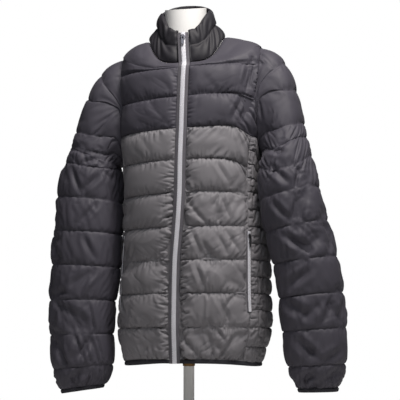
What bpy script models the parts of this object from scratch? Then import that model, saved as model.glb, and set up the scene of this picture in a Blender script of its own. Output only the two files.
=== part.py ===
"""Quilted down jacket, zipped up on a plain limbless dress form with a pole and a round foot.

Metres, +Z up, the jacket faces -Y and the wearer's left is +X. The origin is the middle of the
foot's flat underside. The torso is one smooth surface of numbered rings, seven down from the yoke
seam to the hem and five up from it to the neck seam, and every panel, tape and zip is a stretch of
that surface. Down channels swell between the stitched rings. Sleeves are lofted from the armholes.
"""
import math
from collections import namedtuple

import bmesh
import bpy
import numpy as np

# ---- driving sizes -------------------------------------------------------------------------
SEAM = 0.0003                # space between two sewn pieces
WALL = 0.0032                # cloth at a stitched line: two shells and the filling between them
PUFF_BODY = 0.0095           # how far a body channel swells past its stitch lines
PUFF_SIDE = 0.0060           # the same on the side panels, quilted at half the spacing
PUFF_SLEEVE = 0.0090
PUFF_COLLAR_OUT = 0.0065
PUFF_COLLAR_IN = 0.0030
FULL_CHANNEL = 0.055         # a channel at least this wide swells fully
SQUARENESS = 2.4             # exponent of the torso's rounded sections, 2 would be an ellipse
SEAM_MARGIN = 0.0070         # flat strip along a side seam, under the pocket zip

SIDE_SEAM = math.radians(61) # how far round from the centre front the side seams run
ARMHOLE_HALF = math.radians(29)
ARMHOLE_MIDDLE = 1.1         # ring number at the armhole's mid height
ARMHOLE_REACH = 1.9          # rings from there up to the shoulder and down to the underarm
YOKE = 0.0                   # ring numbers of the yoke seam, the neck seam and the hem
NECK = 5.0
HEM = -7.0
YOKE_GAP = 0.004             # half the space at the yoke seam, in ring numbers
BEND_FROM = -2.0             # ring above which the side panels' lines bend to the armhole
EDGE_SWELL = 0.25            # share of the swelling that is left beside the zip
COLLAR_EDGE_SWELL = 0.35
COLLAR_LIFT = 1.5 * SEAM     # the collar's lower edge over the neck seam

ZIP_HALF = 0.0115            # centre zip: half its width, tape included
ZIP_COIL_HALF = 0.0056
ZIP_TAPE_THICK = 0.0022
COIL_RISE = 0.0017
COIL_SLOPE = 0.0004
ZIP_TOP = 1.75               # collar ring numbers of the zip's end and of its slider
ZIP_SLIDER_AT = 1.45
POCKET_ZIP_HALF = 0.0052
POCKET_COIL_HALF = 0.0029
POCKET_STRIP_LIFT = 0.0006   # the pocket zips lie this far over the seam
POCKET_STRIP_THICK = 0.0011
POCKET_COIL_RISE = 0.0013
POCKET_TOP = -3.15           # torso ring numbers of the pocket zips' ends and sliders
POCKET_SLIDER_AT = -3.3
POCKET_BOTTOM = -5.55

SliderSize = namedtuple("SliderSize", "width length plate")
PullSize = namedtuple("PullSize", "width length")
SLIDER = SliderSize(0.0105, 0.0125, 0.0016)
PULL = PullSize(0.0062, 0.0185)
POCKET_SLIDER = SliderSize(0.0072, 0.0092, 0.0013)
POCKET_PULL = PullSize(0.0054, 0.0225)
PULL_BAR = 0.0012            # thickness of a pull tab, and of its bar in the bridge's eye
BRIDGE_HALF = 0.0010
SLIDER_EYE = 0.0024          # clear height under the bridge
SLIDER_BRIDGE_THICK = 0.0013

HEM_BAND = 0.0085            # visible height of the elastic edge at hem and cuffs
POLE_RADIUS = 0.0110
FERRULE_RADIUS = 0.0125      # bronze fitting that joins the pole to the form
FERRULE_BOTTOM = 0.1575
FERRULE_CHAMFER = 0.0010
FOOT_RADIUS = 0.150
FOOT_THICK = 0.012
FOOT_CHAMFER = 0.004
FORM_BOTTOM = 0.205

# ---- tables --------------------------------------------------------------------------------
Ring = namedtuple("Ring", "z_front z_side z_back half_width front back shift yaw roll")
# From the hem up to the yoke seam, then on up to the neck seam. Angles are in degrees.
TORSO = (
    Ring(0.1720, 0.1660, 0.1700, 0.1380, 0.1040, 0.1000, 0.0090, 8.5, 0.0),
    Ring(0.2340, 0.2340, 0.2340, 0.1540, 0.1120, 0.1100, 0.0120, 9.5, 0.0),
    Ring(0.3000, 0.3000, 0.3000, 0.1525, 0.1120, 0.1100, 0.0125, 9.5, 0.0),
    Ring(0.3655, 0.3655, 0.3655, 0.1510, 0.1110, 0.1080, 0.0145, 10.0, 0.0),
    Ring(0.4310, 0.4310, 0.4310, 0.1460, 0.1100, 0.1060, 0.0135, 7.0, 0.3),
    Ring(0.4990, 0.4990, 0.4990, 0.1415, 0.1090, 0.1050, 0.0105, 3.5, 1.0),
    Ring(0.5650, 0.5650, 0.5650, 0.1420, 0.1080, 0.1050, 0.0090, 2.3, 1.4),
    Ring(0.6290, 0.6290, 0.6290, 0.1510, 0.1050, 0.1060, 0.0100, 2.0, 2.0),
    Ring(0.6950, 0.6950, 0.7000, 0.1570, 0.0990, 0.1050, 0.0120, 3.0, 2.3),
    Ring(0.7570, 0.7600, 0.7720, 0.1590, 0.0890, 0.0990, 0.0110, 2.3, 2.3),
    Ring(0.7605, 0.8035, 0.8000, 0.1430, 0.0850, 0.0930, 0.0090, 1.0, 1.8),
    Ring(0.7640, 0.8220, 0.8260, 0.1120, 0.0805, 0.0830, 0.0010, -4.0, 1.8),
    Ring(0.7690, 0.8330, 0.8480, 0.0790, 0.0765, 0.0700, -0.0040, -7.3, 2.4),
)
# Neck seam, the collar's one quilted line, and its top edge.
COLLAR = (
    Ring(0.7690, 0.8330, 0.8480, 0.0790, 0.0765, 0.0700, -0.0040, -7.3, 2.4),
    Ring(0.8040, 0.8620, 0.8880, 0.0610, 0.0690, 0.0600, -0.0050, -6.0, 2.0),
    Ring(0.8420, 0.8950, 0.9240, 0.0505, 0.0590, 0.0505, -0.0060, -5.0, 1.0),
)
Cuff = namedtuple("Cuff", "outer_x outer_z inner_x inner_z middle_y half_depth")
# Sleeve sections at the quilted lines from the underarm to the cuff, given by the ends of each
# section across the arm. Distances to the side are from the middle plane, so both are positive.
SLEEVE_RIGHT = (
    Cuff(0.2505, 0.6130, 0.1530, 0.5680, -0.0020, 0.0600),
    Cuff(0.2615, 0.5785, 0.1500, 0.5500, -0.0040, 0.0620),
    Cuff(0.2765, 0.5065, 0.1480, 0.4920, -0.0060, 0.0630),
    Cuff(0.2835, 0.4350, 0.1480, 0.4260, -0.0100, 0.0630),
    Cuff(0.2840, 0.3645, 0.1510, 0.3580, -0.0120, 0.0620),
    Cuff(0.2855, 0.2915, 0.1570, 0.2905, -0.0150, 0.0610),
    Cuff(0.2825, 0.2195, 0.1600, 0.2225, -0.0180, 0.0590),
    Cuff(0.2765, 0.1500, 0.1590, 0.1610, -0.0200, 0.0560),
    Cuff(0.2610, 0.1090, 0.1740, 0.1210, -0.0200, 0.0420),
)
SLEEVE_LEFT = (
    Cuff(0.2465, 0.6130, 0.1640, 0.5700, -0.0330, 0.0600),
    Cuff(0.2555, 0.5775, 0.1610, 0.5470, -0.0480, 0.0610),
    Cuff(0.2715, 0.5085, 0.1640, 0.4830, -0.0570, 0.0610),
    Cuff(0.2880, 0.4420, 0.1750, 0.4190, -0.0560, 0.0610),
    Cuff(0.3047, 0.3715, 0.1890, 0.3570, -0.0520, 0.0600),
    Cuff(0.3157, 0.3020, 0.1960, 0.2900, -0.0480, 0.0600),
    Cuff(0.3212, 0.2340, 0.2010, 0.2250, -0.0460, 0.0590),
    Cuff(0.3175, 0.1640, 0.2110, 0.1580, -0.0450, 0.0540),
    Cuff(0.3050, 0.1180, 0.2270, 0.1160, -0.0450, 0.0400),
)
CapLine = namedtuple("CapLine", "share_at_shoulder share_at_underarm starts_at")
# The lines that fan over each sleeve's cap: how far along the cap each lies at the shoulder and at
# the underarm, and how many degrees up the armhole it leaves the seam.
CAP_RIGHT = (
    CapLine(0.00, 0.00, 0),
    CapLine(0.31, 0.25, 78),
    CapLine(0.54, 0.50, 76),
    CapLine(0.86, 0.75, 45),
    CapLine(1.00, 1.00, 0),
)
CAP_LEFT = (
    CapLine(0.00, 0.00, 0),
    CapLine(0.30, 0.25, 92),
    CapLine(0.56, 0.50, 80),
    CapLine(0.85, 0.75, 47),
    CapLine(1.00, 1.00, 0),
)
FormRing = namedtuple("FormRing", "ring inset drop")
# The dress form keeps this far inside and below the jacket's stitched surface, ring by ring.
FORM = (
    FormRing(-6.0, 0.034, 0.000), FormRing(-5.0, 0.033, 0.000), FormRing(-4.0, 0.034, 0.000),
    FormRing(-3.0, 0.034, 0.000), FormRing(-2.0, 0.030, 0.000), FormRing(-1.0, 0.026, 0.000),
    FormRing(0.0, 0.023, 0.000), FormRing(1.0, 0.019, 0.001), FormRing(2.0, 0.012, 0.003),
    FormRing(2.6, 0.009, 0.004), FormRing(3.0, 0.007, 0.004), FormRing(3.5, 0.005, 0.004),
    FormRing(4.0, 0.004, 0.004), FormRing(4.6, 0.008, 0.003), FormRing(5.0, 0.020, 0.000),
)
NeckSize = namedtuple("NeckSize", "radius middle_x middle_y top_middle tilt")
FORM_NECK = NeckSize(0.0435, -0.0065, -0.0060, 0.9010, 16.7)
FORM_SIDES = 32
CAP_AWAY = np.array([1.0, 0.0, -0.25])                # a sleeve leaves its armhole this way
CAP_SPREAD = 0.25                                     # and spreads from it by this share

CHANNEL_STEPS = (0.0, 0.25, 0.75)                     # rows of points across one channel
FRONT_COLUMNS = 8                                     # columns of points across a front yoke
BACK_COLUMNS = 15                                     # and across the back yoke
YOKE_TOP_RINGS = (2.0, 2.4, 2.75, 3.0, 3.5, 4.2, 5.0) # rows of the channel over the shoulder

Finish = namedtuple("Finish", "colour roughness metallic")
FINISHES = dict(
    dark_nylon=Finish((0.045, 0.043, 0.052), 0.45, 0.0),
    grey_nylon=Finish((0.118, 0.112, 0.116), 0.48, 0.0),
    elastic=Finish((0.012, 0.012, 0.015), 0.80, 0.0),
    zip_tape=Finish((0.20, 0.20, 0.22), 0.55, 0.1),
    zip_metal=Finish((0.62, 0.62, 0.64), 0.30, 1.0),
    pull_moulded=Finish((0.03, 0.03, 0.035), 0.50, 0.0),
    form_white=Finish((0.72, 0.73, 0.74), 0.60, 0.0),
    ferrule_bronze=Finish((0.045, 0.034, 0.027), 0.35, 0.8),
    foot_steel=Finish((0.05, 0.05, 0.055), 0.40, 0.6),
)


# ---- the shared surface --------------------------------------------------------------------
def blended(table, place):
    """Rows of a table at fractional row numbers, by Catmull-Rom curves through the rows."""
    rows = np.array(table, dtype=float)
    place = np.asarray(place, dtype=float)
    last = len(rows) - 1
    low = np.clip(np.floor(place).astype(int), 0, last - 1)
    f = (place - low)[..., None]
    a = rows[np.maximum(low - 1, 0)]
    b = rows[low]
    c = rows[low + 1]
    d = rows[np.minimum(low + 2, last)]
    return b + 0.5 * f * (c - a + f * (2 * a - 5 * b + 4 * c - d + f * (3 * (b - c) + d - a)))


def steady(values, place):
    """As blended, for one column: each slope is at most three times the smaller step beside it."""
    values = np.array(values, dtype=float)
    place = np.asarray(place, dtype=float)
    steps = np.diff(values)
    before = np.append(steps[0], steps)
    after = np.append(steps, steps[-1])
    slopes = (before + after) / 2
    slopes[[0, -1]] /= 2
    most = 3 * np.minimum(np.abs(before), np.abs(after))
    slopes = np.clip(slopes, -most, most)
    low = np.clip(np.floor(place).astype(int), 0, len(steps) - 1)
    f = place - low
    curve = (values[low] * (1 + 2 * f) + slopes[low] * f) * (1 - f) ** 2
    return curve + (values[low + 1] * (3 - 2 * f) - slopes[low + 1] * (1 - f)) * f ** 2


def ring_points(table, place, turn):
    """Points of a table's surface: row number, and angle from the centre front towards +X."""
    fields = np.moveaxis(blended(table, place), -1, 0)
    z_front, z_side, z_back, half_width, front, back, shift, yaw, roll = fields
    z_front = steady([ring.z_front for ring in table], place)
    sine = np.sin(turn)
    cosine = np.cos(turn)
    x = half_width * np.sign(sine) * np.abs(sine) ** (2 / SQUARENESS)
    depth = np.where(cosine > 0, front, back)
    y = -depth * np.sign(cosine) * np.abs(cosine) ** (2 / SQUARENESS)
    z_middle = np.where(cosine > 0, z_front, z_back)
    z = z_middle + (z_side - z_middle) * np.abs(sine) ** 3.5 + x * np.tan(np.radians(roll))
    yaw = np.radians(-yaw)
    return np.stack([shift + x * np.cos(yaw) - y * np.sin(yaw),
                     x * np.sin(yaw) + y * np.cos(yaw), z], -1)


def torso(ring, turn):
    """Stitched surface of the jacket's body, by ring number (0 is the yoke seam)."""
    ring, turn = np.broadcast_arrays(ring, turn)
    return ring_points(TORSO, ring - HEM, turn)


def collar_surface(ring, turn):
    """Stitched surface of the collar: 0 neck seam, 1 quilted line, 2 top."""
    ring, turn = np.broadcast_arrays(ring, turn)
    return ring_points(COLLAR, ring, turn)


def outward(surface, ring, turn, step=0.01):
    """Unit normals of a surface, pointing away from the body."""
    ring, turn = np.broadcast_arrays(ring, turn)
    around = surface(ring, turn + step) - surface(ring, turn - step)
    up = surface(ring + step, turn) - surface(ring - step, turn)
    normal = np.cross(around, up)
    return normal / np.linalg.norm(normal, axis=-1, keepdims=True)


def front_turn(ring, offset, table, first):
    """Angle at which the surface lies a given distance to the side of the centre front."""
    half_width = blended(table, np.asarray(ring, dtype=float) - first)[..., 3]
    return np.arcsin((offset / half_width) ** (SQUARENESS / 2))


def armhole_half(ring):
    """Half-angle of the armhole at a ring, nothing above the shoulder tip."""
    share = 1 - ((np.asarray(ring, dtype=float) - ARMHOLE_MIDDLE) / ARMHOLE_REACH) ** 2
    return ARMHOLE_HALF * np.sqrt(np.maximum(share, 0))


def armhole_floor(turn):
    """Ring number of the armhole's lower edge at an angle near the side."""
    share = 1 - ((turn - math.pi / 2) / ARMHOLE_HALF) ** 2
    return np.minimum(ARMHOLE_MIDDLE - ARMHOLE_REACH * np.sqrt(np.maximum(share, 0)), YOKE)


def swell(share):
    """Height of a down channel across its width, 0 at the stitches and 1 in the middle."""
    return np.sin(np.pi * np.clip(share, 0, 1)) ** 0.45


def channel_rows(lines, steps=CHANNEL_STEPS):
    """Rows between stitched lines: their places, shares of the channel, and stitched indexes."""
    places = []
    shares = []
    for low, high in zip(lines[:-1], lines[1:]):
        for step in steps:
            places.append(low + (high - low) * step)
            shares.append(step)
    places.append(lines[-1])
    shares.append(0.0)
    stitched = list(range(0, len(places), len(steps)))
    return np.array(places), np.array(shares), stitched


# ---- solids --------------------------------------------------------------------------------
def material(name):
    made = bpy.data.materials.get(name)
    if made is None:
        made = bpy.data.materials.new(name)
        made.use_nodes = True
        shader = made.node_tree.nodes["Principled BSDF"]
        shader.inputs["Base Color"].default_value = (*FINISHES[name].colour, 1)
        shader.inputs["Roughness"].default_value = FINISHES[name].roughness
        shader.inputs["Metallic"].default_value = FINISHES[name].metallic
    return made


def add_object(name, points, faces, finish, origin=(0, 0, 0)):
    """One closed body, its faces turned outwards, with its origin where it is asked for."""
    mesh = bpy.data.meshes.new(name)
    mesh.from_pydata([tuple(p) for p in np.asarray(points) - np.array(origin)], [], faces)
    shell = bmesh.new()
    shell.from_mesh(mesh)
    bmesh.ops.recalc_face_normals(shell, faces=shell.faces)
    shell.to_mesh(mesh)
    shell.free()
    mesh.materials.append(material(finish))
    mesh.shade_smooth()
    mesh.set_sharp_from_angle(angle=math.radians(50))
    made = bpy.data.objects.new(name, mesh)
    made.location = origin
    bpy.context.scene.collection.objects.link(made)
    return made


def grid_faces(rows, columns, start, closed):
    """Quads of a grid of points; a closed grid joins its last column to its first."""
    faces = []
    for r in range(rows - 1):
        for c in range(columns if closed else columns - 1):
            right = (c + 1) % columns
            faces.append((start + r * columns + c, start + r * columns + right,
                          start + (r + 1) * columns + right, start + (r + 1) * columns + c))
    return faces


def wall(name, outer, inner, stitched, finish, closed=False):
    """Cloth wall between an outer grid and an inner one that has only the stitched rows."""
    rows, columns = outer.shape[:2]
    second = rows * columns
    faces = grid_faces(rows, columns, 0, closed)
    faces += grid_faces(len(stitched), columns, second, closed)
    for outer_row, inner_row in ((0, 0), (rows - 1, len(stitched) - 1)):
        for c in range(columns if closed else columns - 1):
            right = (c + 1) % columns
            faces.append((outer_row * columns + c, outer_row * columns + right,
                          second + inner_row * columns + right, second + inner_row * columns + c))
    if not closed:
        for c in (0, columns - 1):
            for k, (low, high) in enumerate(zip(stitched[:-1], stitched[1:])):
                near = second + k * columns + c
                far = near + columns
                fan = [r * columns + c for r in range(low, high + 1)]
                middle = len(fan) // 2
                faces += [(near, fan[i], fan[i + 1]) for i in range(middle)]
                faces += [(far, fan[i], fan[i + 1]) for i in range(middle, len(fan) - 1)]
                faces.append((near, fan[middle], far))
    points = np.concatenate([outer.reshape(-1, 3), inner.reshape(-1, 3)])
    return add_object(name, points, faces, finish)


def sweep(name, sections, finish, closed):
    """Solid whose cross-sections are the rows of an array, capped at its ends unless closed."""
    count, sides = sections.shape[:2]
    faces = []
    for k in range(count if closed else count - 1):
        after = (k + 1) % count
        for s in range(sides):
            t = (s + 1) % sides
            faces.append((k * sides + s, k * sides + t, after * sides + t, after * sides + s))
    if not closed:
        faces.append(tuple(range(sides)))
        faces.append(tuple((count - 1) * sides + s for s in range(sides)))
    return add_object(name, sections.reshape(-1, 3), faces, finish)


# ---- torso panels --------------------------------------------------------------------------
def across_swell(columns, first_flat, last_flat):
    """A panel's swelling by column: none in the flat columns at each edge, little at the zip."""
    share = np.ones(columns)
    share[0] = EDGE_SWELL
    share[:first_flat] = 0
    share[columns - last_flat:] = 0
    return share[None, :]


def panel(name, rings, turns, puff, shares, stitched, finish, flats):
    """Quilted panel of the torso: stitched surface moved out by its channels and in by its wall."""
    surface = torso(rings, turns)
    normal = outward(torso, rings, turns)
    height = np.linalg.norm(torso(np.ceil(rings + 1e-6), turns) - torso(np.floor(rings), turns),
                            axis=-1)
    lift = puff * swell(shares)[:, None] * np.minimum(height / FULL_CHANNEL, 1)
    lift = lift * across_swell(turns.shape[1], *flats)
    outer = surface + normal * lift[..., None]
    inner = (surface - normal * WALL)[stitched]
    return wall(name, outer, inner, stitched, finish)


def front_columns(rings, edge, count, margin, table=TORSO, first=HEM):
    """Angles from the zip to a panel's outer edge, a row for each ring."""
    start = front_turn(rings, ZIP_HALF, table, first)
    share = np.linspace(0, 1, count)
    turns = start[:, None] + (edge - start)[:, None] * share[None, :]
    if margin:
        flat = edge - margin
        turns = start[:, None] + (flat - start)[:, None] * share[None, :]
        turns = np.concatenate([turns, edge[:, None]], axis=1)
    return turns


def margin_turn():
    """Angle of the flat strip beside a side seam."""
    width = np.linalg.norm(torso(-4.0, SIDE_SEAM + 0.01) - torso(-4.0, SIDE_SEAM - 0.01)) / 0.02
    return SEAM_MARGIN / width


def seam_turn():
    """Half the space between two panels at a side seam, as an angle."""
    return margin_turn() * SEAM / SEAM_MARGIN / 2


def lower_fronts():
    lines = np.arange(HEM, YOKE + 1)
    rings, shares, stitched = channel_rows(lines)
    rings[-1] -= YOKE_GAP
    edge = np.full(len(rings), SIDE_SEAM - seam_turn())
    turns = front_columns(rings, edge, 8, margin_turn())
    for side, name in ((1, "front_left"), (-1, "front_right")):
        panel(name, rings[:, None] + 0 * turns, side * turns, PUFF_BODY, shares, stitched,
              "grey_nylon", (0, 2))


def lower_back():
    lines = np.arange(HEM, YOKE + 1)
    rings, shares, stitched = channel_rows(lines)
    rings[-1] -= YOKE_GAP
    first = math.pi - SIDE_SEAM + seam_turn()
    turns = np.linspace(first, 2 * math.pi - first, 15)
    turns = np.tile(turns, (len(rings), 1))
    panel("back", rings[:, None] + 0 * turns, turns, PUFF_BODY, shares, stitched,
          "grey_nylon", (1, 1))


def side_columns():
    """Angles across a side panel; the second and last but one meet the armhole at the yoke."""
    corner = math.pi / 2 - armhole_half(YOKE)
    first = SIDE_SEAM + seam_turn()
    flat = SIDE_SEAM + margin_turn()
    inner = math.pi / 2 - armhole_half(YOKE) * np.array([0.52, 0.0, -0.52])
    return np.array([first, flat, float(corner), *inner, math.pi - float(corner),
                     math.pi - flat, math.pi - first])


def side_panels():
    lines = np.arange(HEM, YOKE + 0.1, 0.5)
    rows, shares, stitched = channel_rows(lines, (0.0, 0.5))
    columns = side_columns()
    top = armhole_floor(columns) - YOKE_GAP
    share = np.clip((rows[:, None] - BEND_FROM) / (YOKE - BEND_FROM), 0, 1)
    rings = np.where(rows[:, None] < BEND_FROM, rows[:, None],
                     BEND_FROM + share * (top[None, :] - BEND_FROM))
    flat_top = shares * (rows < YOKE - 0.4)
    for side, name in ((1, "side_left"), (-1, "side_right")):
        turns = np.tile(side * columns, (len(rows), 1))
        surface = torso(rings, turns)
        normal = outward(torso, rings, turns)
        lift = PUFF_SIDE * swell(flat_top)[:, None] * across_swell(len(columns), 2, 2)
        outer = surface + normal * lift[..., None]
        whole_lines = stitched[::2]
        inner = (surface - normal * WALL)[whole_lines]
        wall(name, outer, inner, whole_lines, "grey_nylon")


def yoke_rows():
    low, low_shares, _ = channel_rows(np.array([0.0, 1.0, 2.0]))
    top = np.array(YOKE_TOP_RINGS)
    rings = np.concatenate([low[:-1], top])
    shares = np.concatenate([low_shares[:-1], (top - 2) / (NECK - 2)])
    rings[0] += YOKE_GAP
    return rings, shares


def yoke_panel(name, turns, flats):
    """A yoke: two level channels, then one that rolls over the shoulder to the neck seam."""
    rings, shares = yoke_rows()
    grid = rings[:, None] + 0 * turns
    surface = torso(grid, turns)
    normal = outward(torso, np.minimum(grid, NECK - 0.02), turns)
    bottom = np.where(grid >= 2, 2.0, np.floor(grid))
    top = np.where(grid >= 2, NECK, np.floor(grid) + 1)
    height = np.linalg.norm(torso(top, turns) - torso(bottom, turns), axis=-1)
    lift = PUFF_BODY * swell(shares)[:, None] * np.minimum(height / FULL_CHANNEL, 1)
    lift = lift * across_swell(turns.shape[1], *flats)
    outer = surface + normal * lift[..., None]
    return wall(name, outer, surface - normal * WALL, list(range(len(rings))), "dark_nylon")


def yokes():
    rings = yoke_rows()[0]
    gap = seam_turn()
    edge = math.pi / 2 - armhole_half(rings) - gap
    turns = front_columns(rings, edge, FRONT_COLUMNS, 0)
    yoke_panel("yoke_front_left", turns, (0, 1))
    yoke_panel("yoke_front_right", -turns, (0, 1))
    first = math.pi / 2 + armhole_half(rings) + gap
    share = np.linspace(0, 1, BACK_COLUMNS)[None, :]
    turns = first[:, None] + (2 * math.pi - 2 * first)[:, None] * share
    yoke_panel("yoke_back", turns, (1, 1))


# ---- sleeves -------------------------------------------------------------------------------
def armhole_loop(side):
    """Ring numbers and angles of the armhole's edge, from the underarm round by the front."""
    columns = side_columns()[2:7]
    floor = armhole_floor(columns)
    climb = np.array([0.75, 1.25, 2.0, 2.4, 2.75])
    front = math.pi / 2 - armhole_half(climb)
    rings = [*floor[2::-1], *climb, 3.0, *climb[::-1], *floor[:2:-1]]
    turns = [*columns[2::-1], *front, math.pi / 2, *(math.pi - front[::-1]), *columns[:2:-1]]
    return np.array(rings), side * np.array(turns)


def armhole_edge(side):
    """Points of a sleeve's sewn edge and the torso's normals there, inside the armhole's gap."""
    rings, turns = armhole_loop(side)
    edge = torso(rings, turns)
    normal = outward(torso, rings, turns)
    inwards = edge.mean(axis=0) - edge
    inwards -= normal * np.sum(inwards * normal, axis=1, keepdims=True)
    inwards /= np.linalg.norm(inwards, axis=1, keepdims=True)
    return edge + inwards * 2 * SEAM, normal


def section(table, side, place, angle):
    """Points of a sleeve's sections: 0 at the underarm line; angle 0 at the body, then forward."""
    fields = np.moveaxis(blended(table, place), -1, 0)
    outer_x, outer_z, inner_x, inner_z, middle_y, half_depth = fields
    cosine = np.cos(angle)
    sine = np.sin(angle)
    across = -np.sign(cosine) * np.abs(cosine) ** (2 / 2.2) / 2
    forward = np.sign(sine) * np.abs(sine) ** (2 / 2.2)
    x = (outer_x + inner_x) / 2 + (outer_x - inner_x) * across
    z = (outer_z + inner_z) / 2 + (outer_z - inner_z) * across
    return np.stack([side * x, middle_y - half_depth * forward, z], -1)


def unit(vectors):
    return vectors / np.linalg.norm(vectors, axis=-1, keepdims=True)


def sleeve_base(table, cap, side, lines, angles, edge, normal):
    """A sleeve's stitched surface at quilt lines 0 (armhole) to 12 (cuff), a row for each."""
    cap_channels = len(cap) - 1
    start = section(table, side, np.zeros_like(angles), angles)
    onwards = section(table, side, np.full_like(angles, 0.05), angles) - start
    reach = np.linalg.norm(start - edge, axis=-1, keepdims=True)
    away = unit(CAP_AWAY * (side, 1, 1) + CAP_SPREAD * normal) * reach
    onwards = unit(onwards) * reach
    rows = []
    for line in lines:
        if line >= cap_channels:
            rows.append(section(table, side, np.full_like(angles, line - cap_channels), angles))
            continue
        low = int(line)
        share = [cap_share(cap[k], angles) for k in (low, low + 1)]
        f = (share[0] + (share[1] - share[0]) * (line - low))[:, None]
        rows.append((2 * f**3 - 3 * f**2 + 1) * edge + (f**3 - 2 * f**2 + f) * away
                    + (3 * f**2 - 2 * f**3) * start + (f**3 - f**2) * onwards)
    return np.array(rows)


def cap_share(cap_line, angles):
    """How far along the cap a line lies: near the seam below its notch, then fanning out."""
    height = np.degrees(np.minimum(angles, 2 * np.pi - angles))
    f = np.clip((height - cap_line.starts_at) / (180 - cap_line.starts_at), 0, 1)
    f = np.sqrt(f) * (1 - f) + f * f * (3 - 2 * f)
    f = np.clip(f, 0, 1)
    return cap_line.share_at_underarm + (cap_line.share_at_shoulder
                                         - cap_line.share_at_underarm) * f


def sleeve(name, table, cap, side):
    """Sleeve from the armhole's edge to the cuff, and the ring of its last row."""
    last = len(cap) - 1 + len(table) - 1
    lines, shares, stitched = channel_rows(np.arange(0.0, last + 1))
    edge, edge_normal = armhole_edge(side)
    angles = np.arange(len(edge)) * 2 * np.pi / len(edge)
    base = sleeve_base(table, cap, side, lines, angles, edge, edge_normal)
    along = np.gradient(base, axis=0)
    around = np.roll(base, -1, axis=1) - np.roll(base, 1, axis=1)
    normal = unit(np.cross(around, along)) * -side
    normal[0] = edge_normal
    low = np.array(stitched)[np.minimum(np.arange(len(lines)) // len(CHANNEL_STEPS),
                                        len(stitched) - 2)]
    width = np.linalg.norm(base[low + len(CHANNEL_STEPS)] - base[low], axis=-1)
    lift = PUFF_SLEEVE * swell(shares)[:, None] * np.minimum(width / FULL_CHANNEL, 1)
    outer = base + normal * lift[..., None]
    inner = (base - normal * WALL)[stitched]
    wall(name, outer, inner, stitched, "dark_nylon", closed=True)
    return base[-1], normal[-1]


def cuff_band(name, ring, normal):
    """Elastic edge that hangs below a sleeve's last row, a closed ring of one cross-section."""
    down = np.array([0.0, 0.0, -1.0])
    down = down - normal * (normal @ down)[:, None]
    down = unit(down)
    profile = ((0.0012, SEAM), (0.0024, 0.4 * HEM_BAND), (0.0010, HEM_BAND),
               (-WALL, HEM_BAND), (-WALL - 0.0004, 0.4 * HEM_BAND), (-WALL, SEAM))
    sections = np.array([ring + normal * out + down * drop for out, drop in profile])
    sweep(name, sections.transpose(1, 0, 2), "elastic", closed=True)


# ---- collar, hem and zips ------------------------------------------------------------------
def collar():
    """Padded stand collar, two channels, swollen on both faces and round at its top."""
    steps = np.array([0.0, 0.3, 0.65, 1.0, 1.3, 1.65, 1.88, 2.0])
    puff = np.array([0.0, 0.85, 0.85, 0.0, 0.9, 1.0, 0.75, 0.35])
    inner_rows = [0, 2, 3, 5, 7]
    front = front_columns(steps, np.full(len(steps), math.pi / 2), FRONT_COLUMNS, 0, COLLAR, 0.0)
    back = np.linspace(math.pi / 2, 1.5 * math.pi, BACK_COLUMNS)[1:-1]
    back = np.tile(back, (len(steps), 1))
    turns = np.concatenate([front, back, 2 * math.pi - front[:, ::-1]], axis=1)
    rings = steps[:, None] + 0 * turns
    surface = collar_surface(rings, turns)
    surface[0] += (0, 0, COLLAR_LIFT)
    level = outward(collar_surface, np.clip(rings, 0.1, 1.9), turns)
    flat = np.ones(turns.shape[1])
    flat[[0, -1]] = COLLAR_EDGE_SWELL
    lift = (puff[:, None] * flat)[..., None]
    outer = surface + level * PUFF_COLLAR_OUT * lift
    inner = surface - level * (WALL + PUFF_COLLAR_IN * lift)
    wall("collar", outer, inner[inner_rows], inner_rows, "dark_nylon")


def hem_band():
    """Elastic edge under the hem, from one side of the zip round to the other."""
    first = float(front_turn(HEM, ZIP_HALF, TORSO, HEM))
    turns = np.linspace(first, 2 * math.pi - first, 35)
    ring = torso(HEM, turns)
    normal = outward(torso, HEM + 0.05, turns)
    normal[:, 2] = 0
    normal = unit(normal)
    profile = ((0.0012, SEAM), (0.0024, 0.4 * HEM_BAND), (0.0008, HEM_BAND),
               (-WALL - 0.0010, HEM_BAND), (-WALL, SEAM))
    sections = np.array([ring + normal * out + np.array([0, 0, -drop]) for out, drop in profile])
    sweep("hem", sections.transpose(1, 0, 2), "elastic", closed=False)


def centre_line():
    """Centre front from the hem to the collar's top, with its sideways and outward directions."""
    body = np.concatenate([[HEM], np.arange(HEM, 2.1, 0.5), [3.0, 4.2]])
    stand = np.array([0.0, 0.25, 0.5, 1.0, ZIP_SLIDER_AT, ZIP_TOP])
    turn = 0.02
    points = np.concatenate([(torso(body, turn) + torso(body, -turn)) / 2,
                             (collar_surface(stand, turn) + collar_surface(stand, -turn)) / 2])
    points[0] += (0, 0, -HEM_BAND)
    right = np.concatenate([torso(body, 0.1) - torso(body, -0.1),
                            collar_surface(stand, 0.1) - collar_surface(stand, -0.1)])
    right = unit(right * (1, 1, 0))
    up = unit(np.gradient(points, axis=0))
    return points, right, unit(np.cross(right, up))


def pocket_line(side):
    """A side seam between its pocket zip's ends, with its sideways and outward directions."""
    rings = np.concatenate([[POCKET_BOTTOM], np.arange(-5.5, -3.4, 0.25),
                            [POCKET_SLIDER_AT, POCKET_TOP]])
    points = torso(rings, side * SIDE_SEAM)
    normal = outward(torso, rings, side * SIDE_SEAM)
    up = unit(np.gradient(points, axis=0))
    right = unit(np.cross(up, normal))
    return points, right, unit(np.cross(right, up))


def laid_strip(name, line, profile):
    """A strip along a line of points; its section is given sideways and outwards."""
    points, right, normal = line
    sections = np.array([points + right * across + normal * out for across, out in profile])
    sweep(name, sections.transpose(1, 0, 2), "zip_tape", closed=False)


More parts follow.
